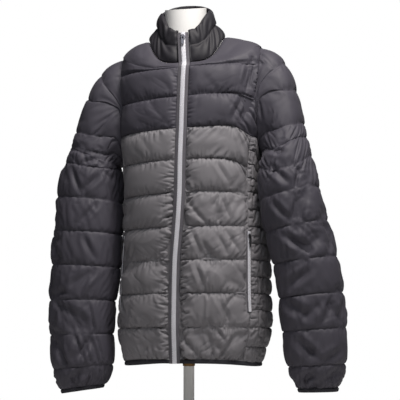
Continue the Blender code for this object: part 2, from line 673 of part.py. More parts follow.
def zip_strips():
    """Two halves of the centre zip, and a whole zip in each pocket, coil side out."""
    line = centre_line()
    low = -ZIP_TAPE_THICK / 2
    top = ZIP_TAPE_THICK / 2
    edge = ZIP_HALF - SEAM
    middle = SEAM / 2
    for side, name in ((1, "zip_tape_left"), (-1, "zip_tape_right")):
        half = ((middle, low), (edge, low), (edge, top), (ZIP_COIL_HALF, top),
                (ZIP_COIL_HALF - COIL_SLOPE, top + COIL_RISE), (middle, top + COIL_RISE))
        laid_strip(name, line, [(side * across, out) for across, out in half])
    low = POCKET_STRIP_LIFT
    top = low + POCKET_STRIP_THICK
    half = ((POCKET_ZIP_HALF, low), (POCKET_ZIP_HALF, top), (POCKET_COIL_HALF, top),
            (POCKET_COIL_HALF - COIL_SLOPE, top + POCKET_COIL_RISE))
    for side, name in ((1, "pocket_zip_left"), (-1, "pocket_zip_right")):
        mirrored = [(-across, out) for across, out in half[::-1]]
        laid_strip(name, pocket_line(side), list(half) + mirrored)


def extruded(name, frame, outline, half, finish):
    """Prism: an outline in (along, out) carried half the width to each side of a frame."""
    centre, axes = frame
    count = len(outline)
    local = np.array([(across, along, out) for across in (-half, half) for along, out in outline])
    faces = [tuple(range(count)), tuple(range(count, 2 * count))]
    faces += [(k, (k + 1) % count, count + (k + 1) % count, count + k) for k in range(count)]
    return add_object(name, centre + local @ axes, faces, finish)


def slider(name, frame, sizes, floor):
    """Zip slider: a plate just over the coil and a bridge with an eye for the pull tab."""
    half = sizes.length / 2
    plate = floor + sizes.plate
    eye = plate + SLIDER_EYE
    crown = eye + SLIDER_BRIDGE_THICK
    sunk = plate - 0.0005
    body = extruded(name, frame, [(-half, floor), (half, floor), (half, plate - 0.0004),
                                  (half - 0.0006, plate), (-half + 0.0006, plate),
                                  (-half, plate - 0.0004)], sizes.width / 2, "zip_metal")
    arch = ((0.66, sunk), (0.54, crown - 0.0007), (0.34, crown))
    hole = ((0.42, sunk), (0.36, eye))
    rail = [(share * half, out) for share, out in arch]
    rail += [(-share * half, out) for share, out in arch[::-1]]
    rail += [(-share * half, out) for share, out in hole]
    rail += [(share * half, out) for share, out in hole[::-1]]
    bridge = extruded(name + "_bridge", frame, rail, BRIDGE_HALF, "zip_metal")
    join = body.modifiers.new("bridge", "BOOLEAN")
    join.operation = "UNION"
    join.object = bridge
    bridge.hide_render = True
    bridge.display_type = "WIRE"
    return plate + SLIDER_EYE / 2


def pull_tab(name, frame, sizes, slider_sizes, height, finish):
    """Pull tab lying along the zip, its top bar through the bridge; its origin is the pivot."""
    centre, axes = frame
    pivot = centre + height * axes[2]
    half = sizes.width / 2
    bar = PULL_BAR / 2
    window = BRIDGE_HALF + 0.0005
    window_end = -0.33 * slider_sizes.length - 0.0009
    length = sizes.length
    outline = [(-half, bar), (half, bar), (half, -0.6 * length), (0.85 * half, -0.94 * length),
               (0.5 * half, -length), (-0.5 * half, -length), (-0.85 * half, -0.94 * length),
               (-half, -0.6 * length)]
    opening = [(-window, -bar), (window, -bar), (window, window_end), (-window, window_end)]
    flat = outline + opening
    count = len(flat)
    points = [(across, along, out) for out in (-bar, bar) for across, along in flat]
    faces = []
    for first in (0, count):
        face_rings = ((0, 1, 9, 8), (1, 2, 10, 9), (7, 0, 8, 11), (2, 3, 4, 5, 6, 7, 11, 10))
        faces += [tuple(first + k for k in ring) for ring in face_rings]
    faces += [(k, (k + 1) % 8, count + (k + 1) % 8, count + k) for k in range(8)]
    faces += [(8 + k, 8 + (k + 1) % 4, count + 8 + (k + 1) % 4, count + 8 + k) for k in range(4)]
    return add_object(name, pivot + np.array(points) @ axes, faces, finish, origin=tuple(pivot))


def zip_slider(slider_name, pull_name, line, sizes, coil_top, pull_finish):
    """A slider and its pull tab at the last point but one of a zip's line."""
    middle, right, normal = (part[-2] for part in line)
    frame = (middle, np.array([right, np.cross(normal, right), normal]))
    slider_sizes, pull_sizes = sizes
    height = slider(slider_name, frame, slider_sizes, coil_top + SEAM)
    pull_tab(pull_name, frame, pull_sizes, slider_sizes, height, pull_finish)


def zip_hardware():
    """A slider and a pull tab near the top of each zip."""
    coil_top = ZIP_TAPE_THICK / 2 + COIL_RISE
    zip_slider("zip_slider", "zip_pull", centre_line(), (SLIDER, PULL), coil_top, "zip_metal")
    coil_top = POCKET_STRIP_LIFT + POCKET_STRIP_THICK + POCKET_COIL_RISE
    for side, name in ((1, "left"), (-1, "right")):
        zip_slider("pocket_slider_" + name, "pocket_pull_" + name, pocket_line(side),
                   (POCKET_SLIDER, POCKET_PULL), coil_top, "pull_moulded")


# ---- dress form and its stand --------------------------------------------------------------
def dress_form():
    """Limbless torso that follows the jacket's inside, with a neck cut flat on a slope."""
    turns = np.arange(FORM_SIDES) * 2 * np.pi / FORM_SIDES
    rings = []
    for ring, inset, drop in FORM:
        points = torso(ring, turns)
        sideways = unit((points - points.mean(axis=0)) * (1, 1, 0))
        rings.append(points - inset * sideways - np.array([0, 0, drop]))
    bottom = rings[0] * (0.90, 0.90, 1.0)
    bottom[:, 2] = FORM_BOTTOM
    middle = np.array([FORM_NECK.middle_x, FORM_NECK.middle_y])
    around = np.stack([np.sin(turns), -np.cos(turns)], -1)
    slope = math.tan(math.radians(FORM_NECK.tilt))
    for rise, wide in ((0.25, 1.12), (0.5, 1.02), (1.0, 1.0)):
        across = middle + around * FORM_NECK.radius * wide
        top = FORM_NECK.top_middle + slope * (across[:, 1] - middle[1])
        start = rings[len(FORM) - 1][:, 2]
        rings.append(np.column_stack([across, start + (top - start) * rise]))
    sweep("form_torso", np.array([bottom] + rings), "form_white", closed=False)


def turned_solid(name, profile, sides, finish):
    """Solid of revolution about the stand's axis from (radius, height) pairs."""
    turns = np.arange(sides) * 2 * np.pi / sides
    rings = [np.column_stack([radius * np.cos(turns), radius * np.sin(turns),
                              np.full(sides, height)]) for radius, height in profile]
    sweep(name, np.array(rings), finish, closed=False)


def stand():
    """Round foot, white pole and the bronze ferrule between the pole and the form."""
    top = FORM_BOTTOM - SEAM
    turned_solid("form_ferrule", ((FERRULE_RADIUS - FERRULE_CHAMFER, FERRULE_BOTTOM),
                                  (FERRULE_RADIUS, FERRULE_BOTTOM + FERRULE_CHAMFER),
                                  (FERRULE_RADIUS, top)), 24, "ferrule_bronze")
    turned_solid("form_pole", ((POLE_RADIUS, FOOT_THICK + SEAM),
                               (POLE_RADIUS, FERRULE_BOTTOM - SEAM)), 24, "form_white")
    turned_solid("form_foot", ((FOOT_RADIUS - FOOT_CHAMFER / 4, 0.0),
                               (FOOT_RADIUS, FOOT_CHAMFER / 4),
                               (FOOT_RADIUS, FOOT_THICK - FOOT_CHAMFER),
                               (FOOT_RADIUS - FOOT_CHAMFER, FOOT_THICK)), 48, "foot_steel")


def clear_scene():
    for thing in list(bpy.data.objects):
        bpy.data.objects.remove(thing)


def main():
    clear_scene()
    lower_fronts()
    lower_back()
    side_panels()
    yokes()
    for name, table, cap, side in (("right", SLEEVE_RIGHT, CAP_RIGHT, -1),
                                   ("left", SLEEVE_LEFT, CAP_LEFT, 1)):
        ring, normal = sleeve("sleeve_" + name, table, cap, side)
        cuff_band("cuff_" + name, ring, normal)
    collar()
    hem_band()
    zip_strips()
    zip_hardware()
    dress_form()
    stand()


if __name__ == "__main__":
    main()
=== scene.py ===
"""Down jacket on a dress form: quilted panels settled as cloth over down, zips, form and stand.

Run as a script in Blender 4.5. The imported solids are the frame, and every piece made here stands
for the solid that it replaces. Metres, +Z up, the jacket faces -Y and the wearer's left is +X.
"""

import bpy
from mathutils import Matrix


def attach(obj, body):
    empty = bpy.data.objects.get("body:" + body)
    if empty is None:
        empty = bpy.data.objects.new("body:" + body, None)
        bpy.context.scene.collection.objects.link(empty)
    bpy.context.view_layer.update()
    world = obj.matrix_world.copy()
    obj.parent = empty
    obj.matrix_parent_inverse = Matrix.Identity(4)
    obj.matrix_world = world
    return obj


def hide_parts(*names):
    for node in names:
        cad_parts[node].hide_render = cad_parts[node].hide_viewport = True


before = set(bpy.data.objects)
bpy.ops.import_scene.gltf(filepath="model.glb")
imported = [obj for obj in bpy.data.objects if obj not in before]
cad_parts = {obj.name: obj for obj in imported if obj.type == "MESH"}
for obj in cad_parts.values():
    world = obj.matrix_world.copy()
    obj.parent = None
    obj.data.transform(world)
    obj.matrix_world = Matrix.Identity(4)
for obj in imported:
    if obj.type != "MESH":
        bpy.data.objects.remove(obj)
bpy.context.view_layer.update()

import math
from collections import namedtuple
from functools import partial

import bpy
import numpy as np
from bpy.props import FloatProperty, FloatVectorProperty, PointerProperty
from mathutils import Vector

bl_info = {
    "name": "Down jacket on a dress form",
    "version": (1, 0, 0),
    "blender": (4, 5, 0),
    "location": "3D View > Sidebar > Jacket",
    "description": "Builds a quilted down jacket on a dress form around its packed solids",
    "category": "Object",
}

# ---- sizes shared with the solids ----
SEAM = 0.0003  # space between two sewn pieces
WALL = 0.0032  # cloth at a stitched line
SQUARENESS = 2.4  # exponent of the torso's rounded sections
SLEEVE_SQUARENESS = 2.2
SIDE_RISE = 3.5  # how sharply a ring climbs to its height at the side
SEAM_MARGIN = 0.0070  # flat strip along a side seam, under the pocket zip
SIDE_SEAM = math.radians(61)
ARMHOLE_HALF = math.radians(29)  # half-width of the armhole's ellipse as an angle
ARMHOLE_MIDDLE = 1.1  # ring number of its middle
ARMHOLE_REACH = 1.9  # and half its height in rings
YOKE, NECK, HEM = 0.0, 5.0, -7.0  # ring numbers of the yoke seam, neck seam and hem
SHOULDER_TIP = 3.0
YOKE_GAP = 0.004  # half the space at the yoke seam, in ring numbers
BEND_FROM = -2.0  # the side panels' lines bend above this ring
COLLAR_LIFT = 1.5 * SEAM
CAP_AWAY = np.array([1.0, 0.0, -0.25])  # way in which a sleeve leaves its armhole
CAP_SPREAD = 0.25  # and share of the torso's normal in it

ZIP_HALF = 0.0115  # half-widths, thicknesses and heights of the zips
COIL_WIDTH = 0.0092
ZIP_TAPE_THICK = 0.0022
COIL_RISE = 0.0017
ZIP_TOP = 1.75  # end of the centre zip and its slider, in the collar's rings
ZIP_SLIDER_AT = 1.45
POCKET_ZIP_HALF = 0.0052
POCKET_COIL_HALF = 0.0029
POCKET_STRIP_LIFT = 0.0006
POCKET_STRIP_THICK = 0.0011
POCKET_COIL_RISE = 0.0013
POCKET_TOP = -3.15  # ends of a pocket zip and its slider, in rings
POCKET_SLIDER_AT = -3.3
POCKET_BOTTOM = -5.55
SLIDER_EYE = 0.0024  # height of the space under a slider's bridge
HEM_BAND = 0.0085

POLE_RADIUS = 0.0110
FERRULE_RADIUS = 0.0125
FERRULE_BOTTOM = 0.1575
FOOT_RADIUS = 0.150
FOOT_THICK = 0.012
FORM_BOTTOM = 0.205

# Rings of the torso from the hem to the neck: heights, half-width, depth to the front and back,
# shift to the side, and yaw and roll in degrees.
Ring = namedtuple("Ring", "z_front z_side z_back half_width front back shift yaw roll")
HALF_WIDTH = Ring._fields.index("half_width")
TORSO = (
    Ring(0.1720, 0.1660, 0.1700, 0.1380, 0.1040, 0.1000, 0.0090, 8.5, 0.0),
    Ring(0.2340, 0.2340, 0.2340, 0.1540, 0.1120, 0.1100, 0.0120, 9.5, 0.0),
    Ring(0.3000, 0.3000, 0.3000, 0.1525, 0.1120, 0.1100, 0.0125, 9.5, 0.0),
    Ring(0.3655, 0.3655, 0.3655, 0.1510, 0.1110, 0.1080, 0.0145, 10.0, 0.0),
    Ring(0.4310, 0.4310, 0.4310, 0.1460, 0.1100, 0.1060, 0.0135, 7.0, 0.3),
    Ring(0.4990, 0.4990, 0.4990, 0.1415, 0.1090, 0.1050, 0.0105, 3.5, 1.0),
    Ring(0.5650, 0.5650, 0.5650, 0.1420, 0.1080, 0.1050, 0.0090, 2.3, 1.4),
    Ring(0.6290, 0.6290, 0.6290, 0.1510, 0.1050, 0.1060, 0.0100, 2.0, 2.0),
    Ring(0.6950, 0.6950, 0.7000, 0.1570, 0.0990, 0.1050, 0.0120, 3.0, 2.3),
    Ring(0.7570, 0.7600, 0.7720, 0.1590, 0.0890, 0.0990, 0.0110, 2.3, 2.3),
    Ring(0.7605, 0.8035, 0.8000, 0.1430, 0.0850, 0.0930, 0.0090, 1.0, 1.8),
    Ring(0.7640, 0.8220, 0.8260, 0.1120, 0.0805, 0.0830, 0.0010, -4.0, 1.8),
    Ring(0.7690, 0.8330, 0.8480, 0.0790, 0.0765, 0.0700, -0.0040, -7.3, 2.4),
)
COLLAR = (
    TORSO[-1],
    Ring(0.8040, 0.8620, 0.8880, 0.0610, 0.0690, 0.0600, -0.0050, -6.0, 2.0),
    Ring(0.8420, 0.8950, 0.9240, 0.0505, 0.0590, 0.0505, -0.0060, -5.0, 1.0),
)
# Ovals of a sleeve from under its cap to the cuff: where each ends on the outer and inner side,
# its middle from front to back, and half its depth.
Oval = namedtuple("Oval", "outer_x outer_z inner_x inner_z middle_y half_depth")
SLEEVE_RIGHT = (
    Oval(0.2505, 0.6130, 0.1530, 0.5680, -0.0020, 0.0600),
    Oval(0.2615, 0.5785, 0.1500, 0.5500, -0.0040, 0.0620),
    Oval(0.2765, 0.5065, 0.1480, 0.4920, -0.0060, 0.0630),
    Oval(0.2835, 0.4350, 0.1480, 0.4260, -0.0100, 0.0630),
    Oval(0.2840, 0.3645, 0.1510, 0.3580, -0.0120, 0.0620),
    Oval(0.2855, 0.2915, 0.1570, 0.2905, -0.0150, 0.0610),
    Oval(0.2825, 0.2195, 0.1600, 0.2225, -0.0180, 0.0590),
    Oval(0.2765, 0.1500, 0.1590, 0.1610, -0.0200, 0.0560),
    Oval(0.2610, 0.1090, 0.1740, 0.1210, -0.0200, 0.0420),
)
SLEEVE_LEFT = (
    Oval(0.2465, 0.6130, 0.1640, 0.5700, -0.0330, 0.0600),
    Oval(0.2555, 0.5775, 0.1610, 0.5470, -0.0480, 0.0610),
    Oval(0.2715, 0.5085, 0.1640, 0.4830, -0.0570, 0.0610),
    Oval(0.2880, 0.4420, 0.1750, 0.4190, -0.0560, 0.0610),
    Oval(0.3047, 0.3715, 0.1890, 0.3570, -0.0520, 0.0600),
    Oval(0.3157, 0.3020, 0.1960, 0.2900, -0.0480, 0.0600),
    Oval(0.3212, 0.2340, 0.2010, 0.2250, -0.0460, 0.0590),
    Oval(0.3175, 0.1640, 0.2110, 0.1580, -0.0450, 0.0540),
    Oval(0.3050, 0.1180, 0.2270, 0.1160, -0.0450, 0.0400),
)
CAP_STEP = 15.0  # degrees between the places in the next tables
# Quilt lines 1 to 5 of a sleeve from the underarm up to the shoulder: below 1 they lie that share
# of the way over the cap, and above 1 at one more than the sleeve section's number.
LINES_RIGHT = (
    (0.02, 0.02, 0.02, 0.02, 0.02, 0.03, 0.09, 0.20, 0.25, 0.26, 0.28, 0.30, 0.31),
    (0.04, 0.04, 0.04, 0.04, 0.04, 0.06, 0.20, 0.40, 0.49, 0.50, 0.53, 0.55, 0.55),
    (0.06, 0.06, 0.07, 0.18, 0.52, 0.65, 0.74, 0.80, 0.82, 0.84, 0.85, 0.86, 0.86),
    (0.10, 0.12, 0.30, 0.76, 0.86, 0.91, 0.95, 0.98, 1.00, 1.00, 1.00, 1.00, 1.00),
    (1.35, 1.50, 1.70, 1.80, 1.90, 1.95, 2.00, 2.00, 2.00, 2.00, 2.00, 2.00, 2.00),
)
LINES_LEFT = (
    (0.02, 0.02, 0.02, 0.02, 0.02, 0.02, 0.04, 0.15, 0.23, 0.26, 0.28, 0.30, 0.30),
    (0.04, 0.04, 0.04, 0.04, 0.05, 0.08, 0.22, 0.42, 0.50, 0.53, 0.55, 0.56, 0.56),
    (0.06, 0.06, 0.08, 0.34, 0.59, 0.70, 0.76, 0.82, 0.84, 0.86, 0.86, 0.86, 0.85),
    (0.10, 0.20, 0.58, 0.82, 0.97, 1.05, 1.10, 1.12, 1.10, 1.06, 1.00, 1.00, 1.00),
    (1.80, 1.90, 2.05, 2.20, 2.30, 2.35, 2.38, 2.40, 2.35, 2.30, 2.20, 2.10, 2.05),
)
CAP_CHANNELS = 4
ARMHOLE_STEPS = 16  # even columns round a sleeve, from the underarm by the front
ARMHOLE_CLIMB = (0.75, 1.25, 2.0, 2.4, 2.75)
# The form by the torso's rings: ring, how far inside it, and how far below.
FORM = (
    (-6.0, 0.034, 0.0), (-5.0, 0.033, 0.0), (-4.0, 0.034, 0.0),
    (-3.0, 0.034, 0.0), (-2.0, 0.030, 0.0), (-1.0, 0.026, 0.0),
    (0.0, 0.023, 0.0), (1.0, 0.019, 0.001), (2.0, 0.012, 0.003),
    (2.6, 0.009, 0.004), (3.0, 0.007, 0.004), (3.5, 0.005, 0.004),
    (4.0, 0.004, 0.004), (4.6, 0.008, 0.003), (5.0, 0.020, 0.0),
)
NeckSize = namedtuple("NeckSize", "radius middle_x middle_y top_middle tilt")
FORM_NECK = NeckSize(0.0435, -0.0065, -0.0060, 0.9010, 16.7)

# ---- how full and how fine the cloth is ----
THREAD = 0.0028  # spacing of the cloth's points
CHANNEL = 0.066  # usual width of a down channel
CHANNEL_STEPS = 2 * round(CHANNEL / THREAD / 2)  # rows of points across one
FULL_CHANNEL = 0.055  # a channel at least this wide swells fully
NARROW_CHANNEL = 0.15  # least share of its loft that a narrow one keeps
LEAST_LOFT = 0.0008
GROOVE = 0.0010  # how far quilting pulls the cloth below its surface
LINE_DRIFT = 0.0011  # how far stitched lines wander in and out
DRIFT_LONG, DRIFT_ROWS = 0.035, 6.0  # length and rows of one wave of it
DRIFT_FROM = 0.03  # they wander fully this far from a panel's sides
LOFT_VARIES = 0.13  # loft and spare cloth are uneven by these shares
SPARE_VARIES = 0.35
CALM_WIDTH = 0.022  # cloth starts to lie plain where a channel is 1.6 of these wide
CALM_FROM = 1.6
CALM_FILL = 0.8  # plain cloth stands at this share of its loft
CLOTH_SMOOTH = 125  # cloth is shaded smoothly up to this angle between faces

SETTLE_STEPS = 260
SWEEPS = 2  # times that the threads are drawn to length in each step
MOMENTUM = 0.90  # share of its last move that a point repeats
PUSH = 0.000014  # how far down moves the cloth in one step
DRAW_BACK = 0.12  # most that cloth past its loft sinks back, as a share of a push
BENDING = 0.03  # share of a sharp bend smoothed away in each step
START_SHARE = 0.7  # the cloth starts at this share of its loft
START_ROUGHNESS = 0.0024  # height of its first bumps, in two sizes
START_ACROSS, START_ALONG = 0.012, 0.014
START_FINER = 2.1
LOW_LIMIT = -0.0006  # how far cloth may sink below its stitched surface
LOFT_LIMIT = 1.22  # and how far past its loft it may rise, as a share
THREAD_GIVE = (1.0, 1.0)  # share of a thread's excess taken up when stretched and squeezed
SLANT_GIVE = (0.30, 0.06)  # the same for the diagonals

SMALL_STEP = 0.01  # rings or radians over which a slope is measured
SEAM_RING = -4.0  # ring at which widths beside the side seams are measured


# ---- the shared surface ----
def blended(table, place):
    """Rows of a table at fractional row numbers, by Catmull-Rom curves through the rows."""
    rows = np.array(table, dtype=float)
    place = np.asarray(place, dtype=float)
    last = len(rows) - 1
    low = np.clip(np.floor(place).astype(int), 0, last - 1)
    f = (place - low)[..., None]
    a = rows[np.maximum(low - 1, 0)]
    b = rows[low]
    c = rows[low + 1]
    d = rows[np.minimum(low + 2, last)]
    return b + 0.5 * f * (c - a + f * (2 * a - 5 * b + 4 * c - d + f * (3 * (b - c) + d - a)))


def rounded(angle, squareness):
    """Sine and cosine of an angle on a squared circle: each keeps its sign and takes 2/n power."""
    power = 2 / squareness
    sine = np.sin(angle)
    cosine = np.cos(angle)
    return np.sign(sine) * np.abs(sine) ** power, np.sign(cosine) * np.abs(cosine) ** power


def steady(values, place):
    """As blended, for one column, with each slope at most three times the smaller step by it."""
    values = np.array(values, dtype=float)
    place = np.asarray(place, dtype=float)
    steps = np.diff(values)
    before = np.append(steps[0], steps)
    after = np.append(steps, steps[-1])
    slopes = (before + after) / 2
    slopes[[0, -1]] /= 2
    most = 3 * np.minimum(np.abs(before), np.abs(after))
    slopes = np.clip(slopes, -most, most)
    low = np.clip(np.floor(place).astype(int), 0, len(steps) - 1)
    f = place - low
    curve = (values[low] * (1 + 2 * f) + slopes[low] * f) * (1 - f) ** 2
    return curve + (values[low + 1] * (3 - 2 * f) - slopes[low + 1] * (1 - f)) * f ** 2


def ring_points(table, place, turn):
    """Points of a table's surface: row number, and angle from the centre front towards +X.

    x is half the width times the squared sine, y is the front or back depth times the squared
    cosine, and z runs from the middle's height to the side's, all turned by the yaw."""
    fields = np.moveaxis(blended(table, place), -1, 0)
    z_front, z_side, z_back, half_width, front, back, shift, yaw, roll = fields
    z_front = steady([ring.z_front for ring in table], place)
    across, ahead = rounded(turn, SQUARENESS)
    x = half_width * across
    y = -np.where(ahead > 0, front, back) * ahead
    z_middle = np.where(ahead > 0, z_front, z_back)
    rise = (z_side - z_middle) * np.abs(np.sin(turn)) ** SIDE_RISE
    z = z_middle + rise + x * np.tan(np.radians(roll))
    yaw = np.radians(-yaw)
    return np.stack([shift + x * np.cos(yaw) - y * np.sin(yaw),
                     x * np.sin(yaw) + y * np.cos(yaw), z], -1)


def torso(ring, turn):
    """Stitched surface of the jacket's body, by ring number (0 is the yoke seam)."""
    ring, turn = np.broadcast_arrays(ring, turn)
    return ring_points(TORSO, ring - HEM, turn)


def collar_surface(ring, turn):
    """Stitched surface of the collar: 0 neck seam, 1 quilted line, 2 top."""
    ring, turn = np.broadcast_arrays(ring, turn)
    return ring_points(COLLAR, ring, turn)


def full_turn(count):
    """Even angles all round."""
    return np.linspace(0, 2 * np.pi, count, endpoint=False)


def unit(vectors):
    """Vectors at length one."""
    return vectors / np.linalg.norm(vectors, axis=-1, keepdims=True)


def outward(surface, ring, turn):
    """Unit normals of a surface, pointing away from the body, from its slopes both ways."""
    ring, turn = np.broadcast_arrays(ring, turn)
    around = surface(ring, turn + SMALL_STEP) - surface(ring, turn - SMALL_STEP)
    up = surface(ring + SMALL_STEP, turn) - surface(ring - SMALL_STEP, turn)
    return unit(np.cross(around, up))


def front_turn(ring, offset, table, first):
    """Angle at which the surface lies a given distance to the side of the centre front."""
    half_width = blended(table, np.asarray(ring, dtype=float) - first)[..., HALF_WIDTH]
    return np.arcsin((offset / half_width) ** (SQUARENESS / 2))


def armhole_half(ring):
    """Half-angle of the armhole at a ring, nothing above the shoulder tip."""
    share = 1 - ((np.asarray(ring, dtype=float) - ARMHOLE_MIDDLE) / ARMHOLE_REACH) ** 2
    return ARMHOLE_HALF * np.sqrt(np.maximum(share, 0))


def armhole_floor(turn):
    """Ring number of the armhole's lower edge at an angle near the side."""
    share = 1 - ((turn - math.pi / 2) / ARMHOLE_HALF) ** 2
    return np.minimum(ARMHOLE_MIDDLE - ARMHOLE_REACH * np.sqrt(np.maximum(share, 0)), YOKE)


def margin_turn():
    """Angle of the flat strip beside a side seam."""
    width = np.linalg.norm(torso(SEAM_RING, SIDE_SEAM + SMALL_STEP)
                           - torso(SEAM_RING, SIDE_SEAM - SMALL_STEP)) / (2 * SMALL_STEP)
    return SEAM_MARGIN / width


def seam_turn():
    """Half the space between two panels at a side seam, as an angle."""
    return margin_turn() * SEAM / SEAM_MARGIN / 2


# ---- cloth over down ----
CELLS = 64  # a random field repeats after this many cells


def rough(u, v, seed):
    """Smooth random field from -1 to 1, one random value to a cell, blended by smooth steps."""
    table = np.random.default_rng(seed).uniform(-1, 1, (CELLS, CELLS))
    u, v = np.broadcast_arrays(u, v)
    i = np.floor(u).astype(int)
    j = np.floor(v).astype(int)
    f = u - i
    g = v - j
    f = f * f * (3 - 2 * f)
    g = g * g * (3 - 2 * g)
    i, right, j, above = i % CELLS, (i + 1) % CELLS, j % CELLS, (j + 1) % CELLS
    low = table[i, j] * (1 - f) + table[right, j] * f
    high = table[i, above] * (1 - f) + table[right, above] * f
    return low * (1 - g) + high * g


def varied(amount, share, u, v, seed):
    """An amount made uneven by a share either way; u and v are in cells of cloth."""
    return amount * (1 + share * rough(u, v, seed))


def lengths_of(points, axis):
    """Distance of each point of a grid along one way, from its first row or column."""
    steps = np.linalg.norm(np.diff(points, axis=axis), axis=-1)
    pad = [(1, 0), (0, 0)] if axis == 0 else [(0, 0), (1, 0)]
    return np.pad(np.cumsum(steps, axis=axis), pad)


def thread_sets(base, along, across, free):
    """All threads of a cloth grid, in sets whose threads share no point.

    A thread's rest length is its length on the base surface plus its spare share. Weft and warp
    keep to theirs, and diagonals give easily."""
    weft = np.linalg.norm(np.diff(base, axis=1), axis=2)
    weft = weft * (1 + (across[:, 1:] + across[:, :-1]) / 2)
    warp = np.linalg.norm(np.diff(base, axis=0), axis=2)
    warp = warp * (1 + (along[1:] + along[:-1]) / 2)
    slant = np.hypot((weft[1:] + weft[:-1]) / 2, (warp[:, 1:] + warp[:, :-1]) / 2)
    every = slice(None)
    sets = []
    for k in (0, 1):
        left, right = slice(k, base.shape[1] - 1, 2), slice(k + 1, None, 2)
        below, above = slice(k, base.shape[0] - 1, 2), slice(k + 1, None, 2)
        sets += [((every, left), (every, right), weft[:, k::2], *THREAD_GIVE),
                 ((below, every), (above, every), warp[k::2], *THREAD_GIVE),
                 ((below, slice(0, -1)), (above, slice(1, None)), slant[k::2], *SLANT_GIVE),
                 ((below, slice(1, None)), (above, slice(0, -1)), slant[k::2], *SLANT_GIVE)]
    ready = []
    for first, second, rest, stretch, squeeze in sets:
        share = np.maximum(free[first] + free[second], 1e-6)
        ready.append((first, second, rest.astype(np.float32), stretch, squeeze,
                      (free[first] / share)[..., None], (free[second] / share)[..., None]))
    return ready


def inner_mean(grid):
    """How far each inner point is from the mean of its four neighbours, nothing at the edges."""
    away = np.zeros_like(grid)
    away[1:-1, 1:-1] = ((grid[:-2, 1:-1] + grid[2:, 1:-1] + grid[1:-1, :-2] + grid[1:-1, 2:]) / 4
                        - grid[1:-1, 1:-1])
    return away


def settled(base, normal, free, loft, along, across, seed, closed=False):
    """Cloth that down pushes out between held points until its threads are taut.

    Each step carries every free point on by most of its last move, adds a push along the cloth's
    own normal that fades as the height nears the loft, then moves the ends of each thread towards
    its rest length, smooths sharp bends and keeps the height within its limits."""
    base = base.astype(np.float32)
    normal = normal.astype(np.float32)
    loft = loft.astype(np.float32)
    free = free.astype(np.float32)
    u = lengths_of(base, 1) / START_ACROSS
    v = lengths_of(base, 0) / START_ALONG
    start = (loft * START_SHARE + START_ROUGHNESS * rough(u, v, seed)
             + START_ROUGHNESS * rough(u * START_FINER, v * START_FINER, seed + 1))
    held = free[..., None]
    x = base + normal * (start * free)[..., None].astype(np.float32)
    before = x.copy()
    sets = thread_sets(base, along, across, free)
    ceiling = loft * LOFT_LIMIT
    for _ in range(SETTLE_STEPS):
        height = np.einsum("rck,rck->rc", x - base, normal)
        push = PUSH * np.clip(1 - (height / loft) ** 3, -DRAW_BACK, 1)
        facing = np.cross(np.gradient(x, axis=1), np.gradient(x, axis=0))
        facing /= np.linalg.norm(facing, axis=2, keepdims=True) + 1e-12
        facing *= np.sign(np.einsum("rck,rck->rc", facing, normal))[..., None]
        ahead = x + held * (MOMENTUM * (x - before) + facing * push[..., None])
        before = x
        x = ahead
        for _ in range(SWEEPS):
            for first, second, rest, stretch, squeeze, first_share, second_share in sets:
                gap = x[second] - x[first]
                length = np.sqrt(np.einsum("rck,rck->rc", gap, gap)) + 1e-9
                excess = length - rest
                gap *= (np.where(excess > 0, stretch, squeeze) * excess / length)[..., None]
                x[first] += gap * first_share
                x[second] -= gap * second_share
            if closed:
                x[:, 0] = x[:, -1] = (x[:, 0] + x[:, -1]) / 2
        x -= BENDING * held * inner_mean(inner_mean(x) * held)
        height = np.einsum("rck,rck->rc", x - base, normal)
        x += (normal * (np.clip(height, LOW_LIMIT, ceiling) - height)[..., None]) * held
    return x


Crease = namedtuple("Crease", "from_ring from_turn to_ring to_turn depth width")
CREASE_DEPTH = 1.35  # every crease is this much deeper than its table says
RIDGE = 0.40  # the ridges beside a crease, as a share of its depth
RIDGE_AT, RIDGE_WIDE = 2.2, 0.9  # where they stand and their width, in crease widths
CREASE_REACH = 6  # a crease ends this many widths to each side


def creased(points, normal, free, surface, creases):
    """Lays soft creases in a cloth: each is a trough with a low ridge on both sides.

    The depth falls off exponentially across the crease, and as a sine towards its ends."""
    for crease in map(Crease._make, creases):
        start = surface(crease.from_ring, math.radians(crease.from_turn))
        way = surface(crease.to_ring, math.radians(crease.to_turn)) - start
        along = np.clip((points - start) @ way / (way @ way), 0, 1)
        away = points - start - along[..., None] * way
        away = away - normal * np.einsum("rck,rck->rc", away, normal)[..., None]
        across = np.linalg.norm(away, axis=2) / crease.width
        ridge = RIDGE * np.exp(-((across - RIDGE_AT) / RIDGE_WIDE) ** 2)
        shape = np.exp(-across ** 1.3) - ridge
        fade = np.sin(np.pi * np.clip(along, 0.03, 0.97)) ** 0.6 * (across < CREASE_REACH) * free
        points = points - normal * (CREASE_DEPTH * crease.depth * shape * fade)[..., None]
    return points


# The cells of a field of creases: their slant in degrees from the row towards the column, their
# length and width in metres, and how far a crease reaches into a cell from the field's zero line.
Cells = namedtuple("Cells", "slant long wide reach")
PUCKERS = Cells(90, 0.060, 0.0070, 0.55)
GATHERS = Cells(16, 0.040, 0.0062, 0.60)
FOLDS_UP = Cells(55, 0.075, 0.0230, 0.62)
FOLDS_DOWN = Cells(-50, 0.070, 0.0215, 0.62)
SMALL_FOLDS = Cells(35, 0.030, 0.0095, 0.50)
SMALL_SHARE = 0.18  # depth of the small folds beside the large
PUCKER_REACH = 0.011  # how far puckers run from the stitching
PUCKER_FROM = 0.004  # and where they are deep
FOLD_FROM = 0.013  # folds are deep this far from the stitching
CREASE_ROUND = 0.14  # how rounded the bottom of a crease is
Wrinkles = namedtuple("Wrinkles", "pucker gather folds")


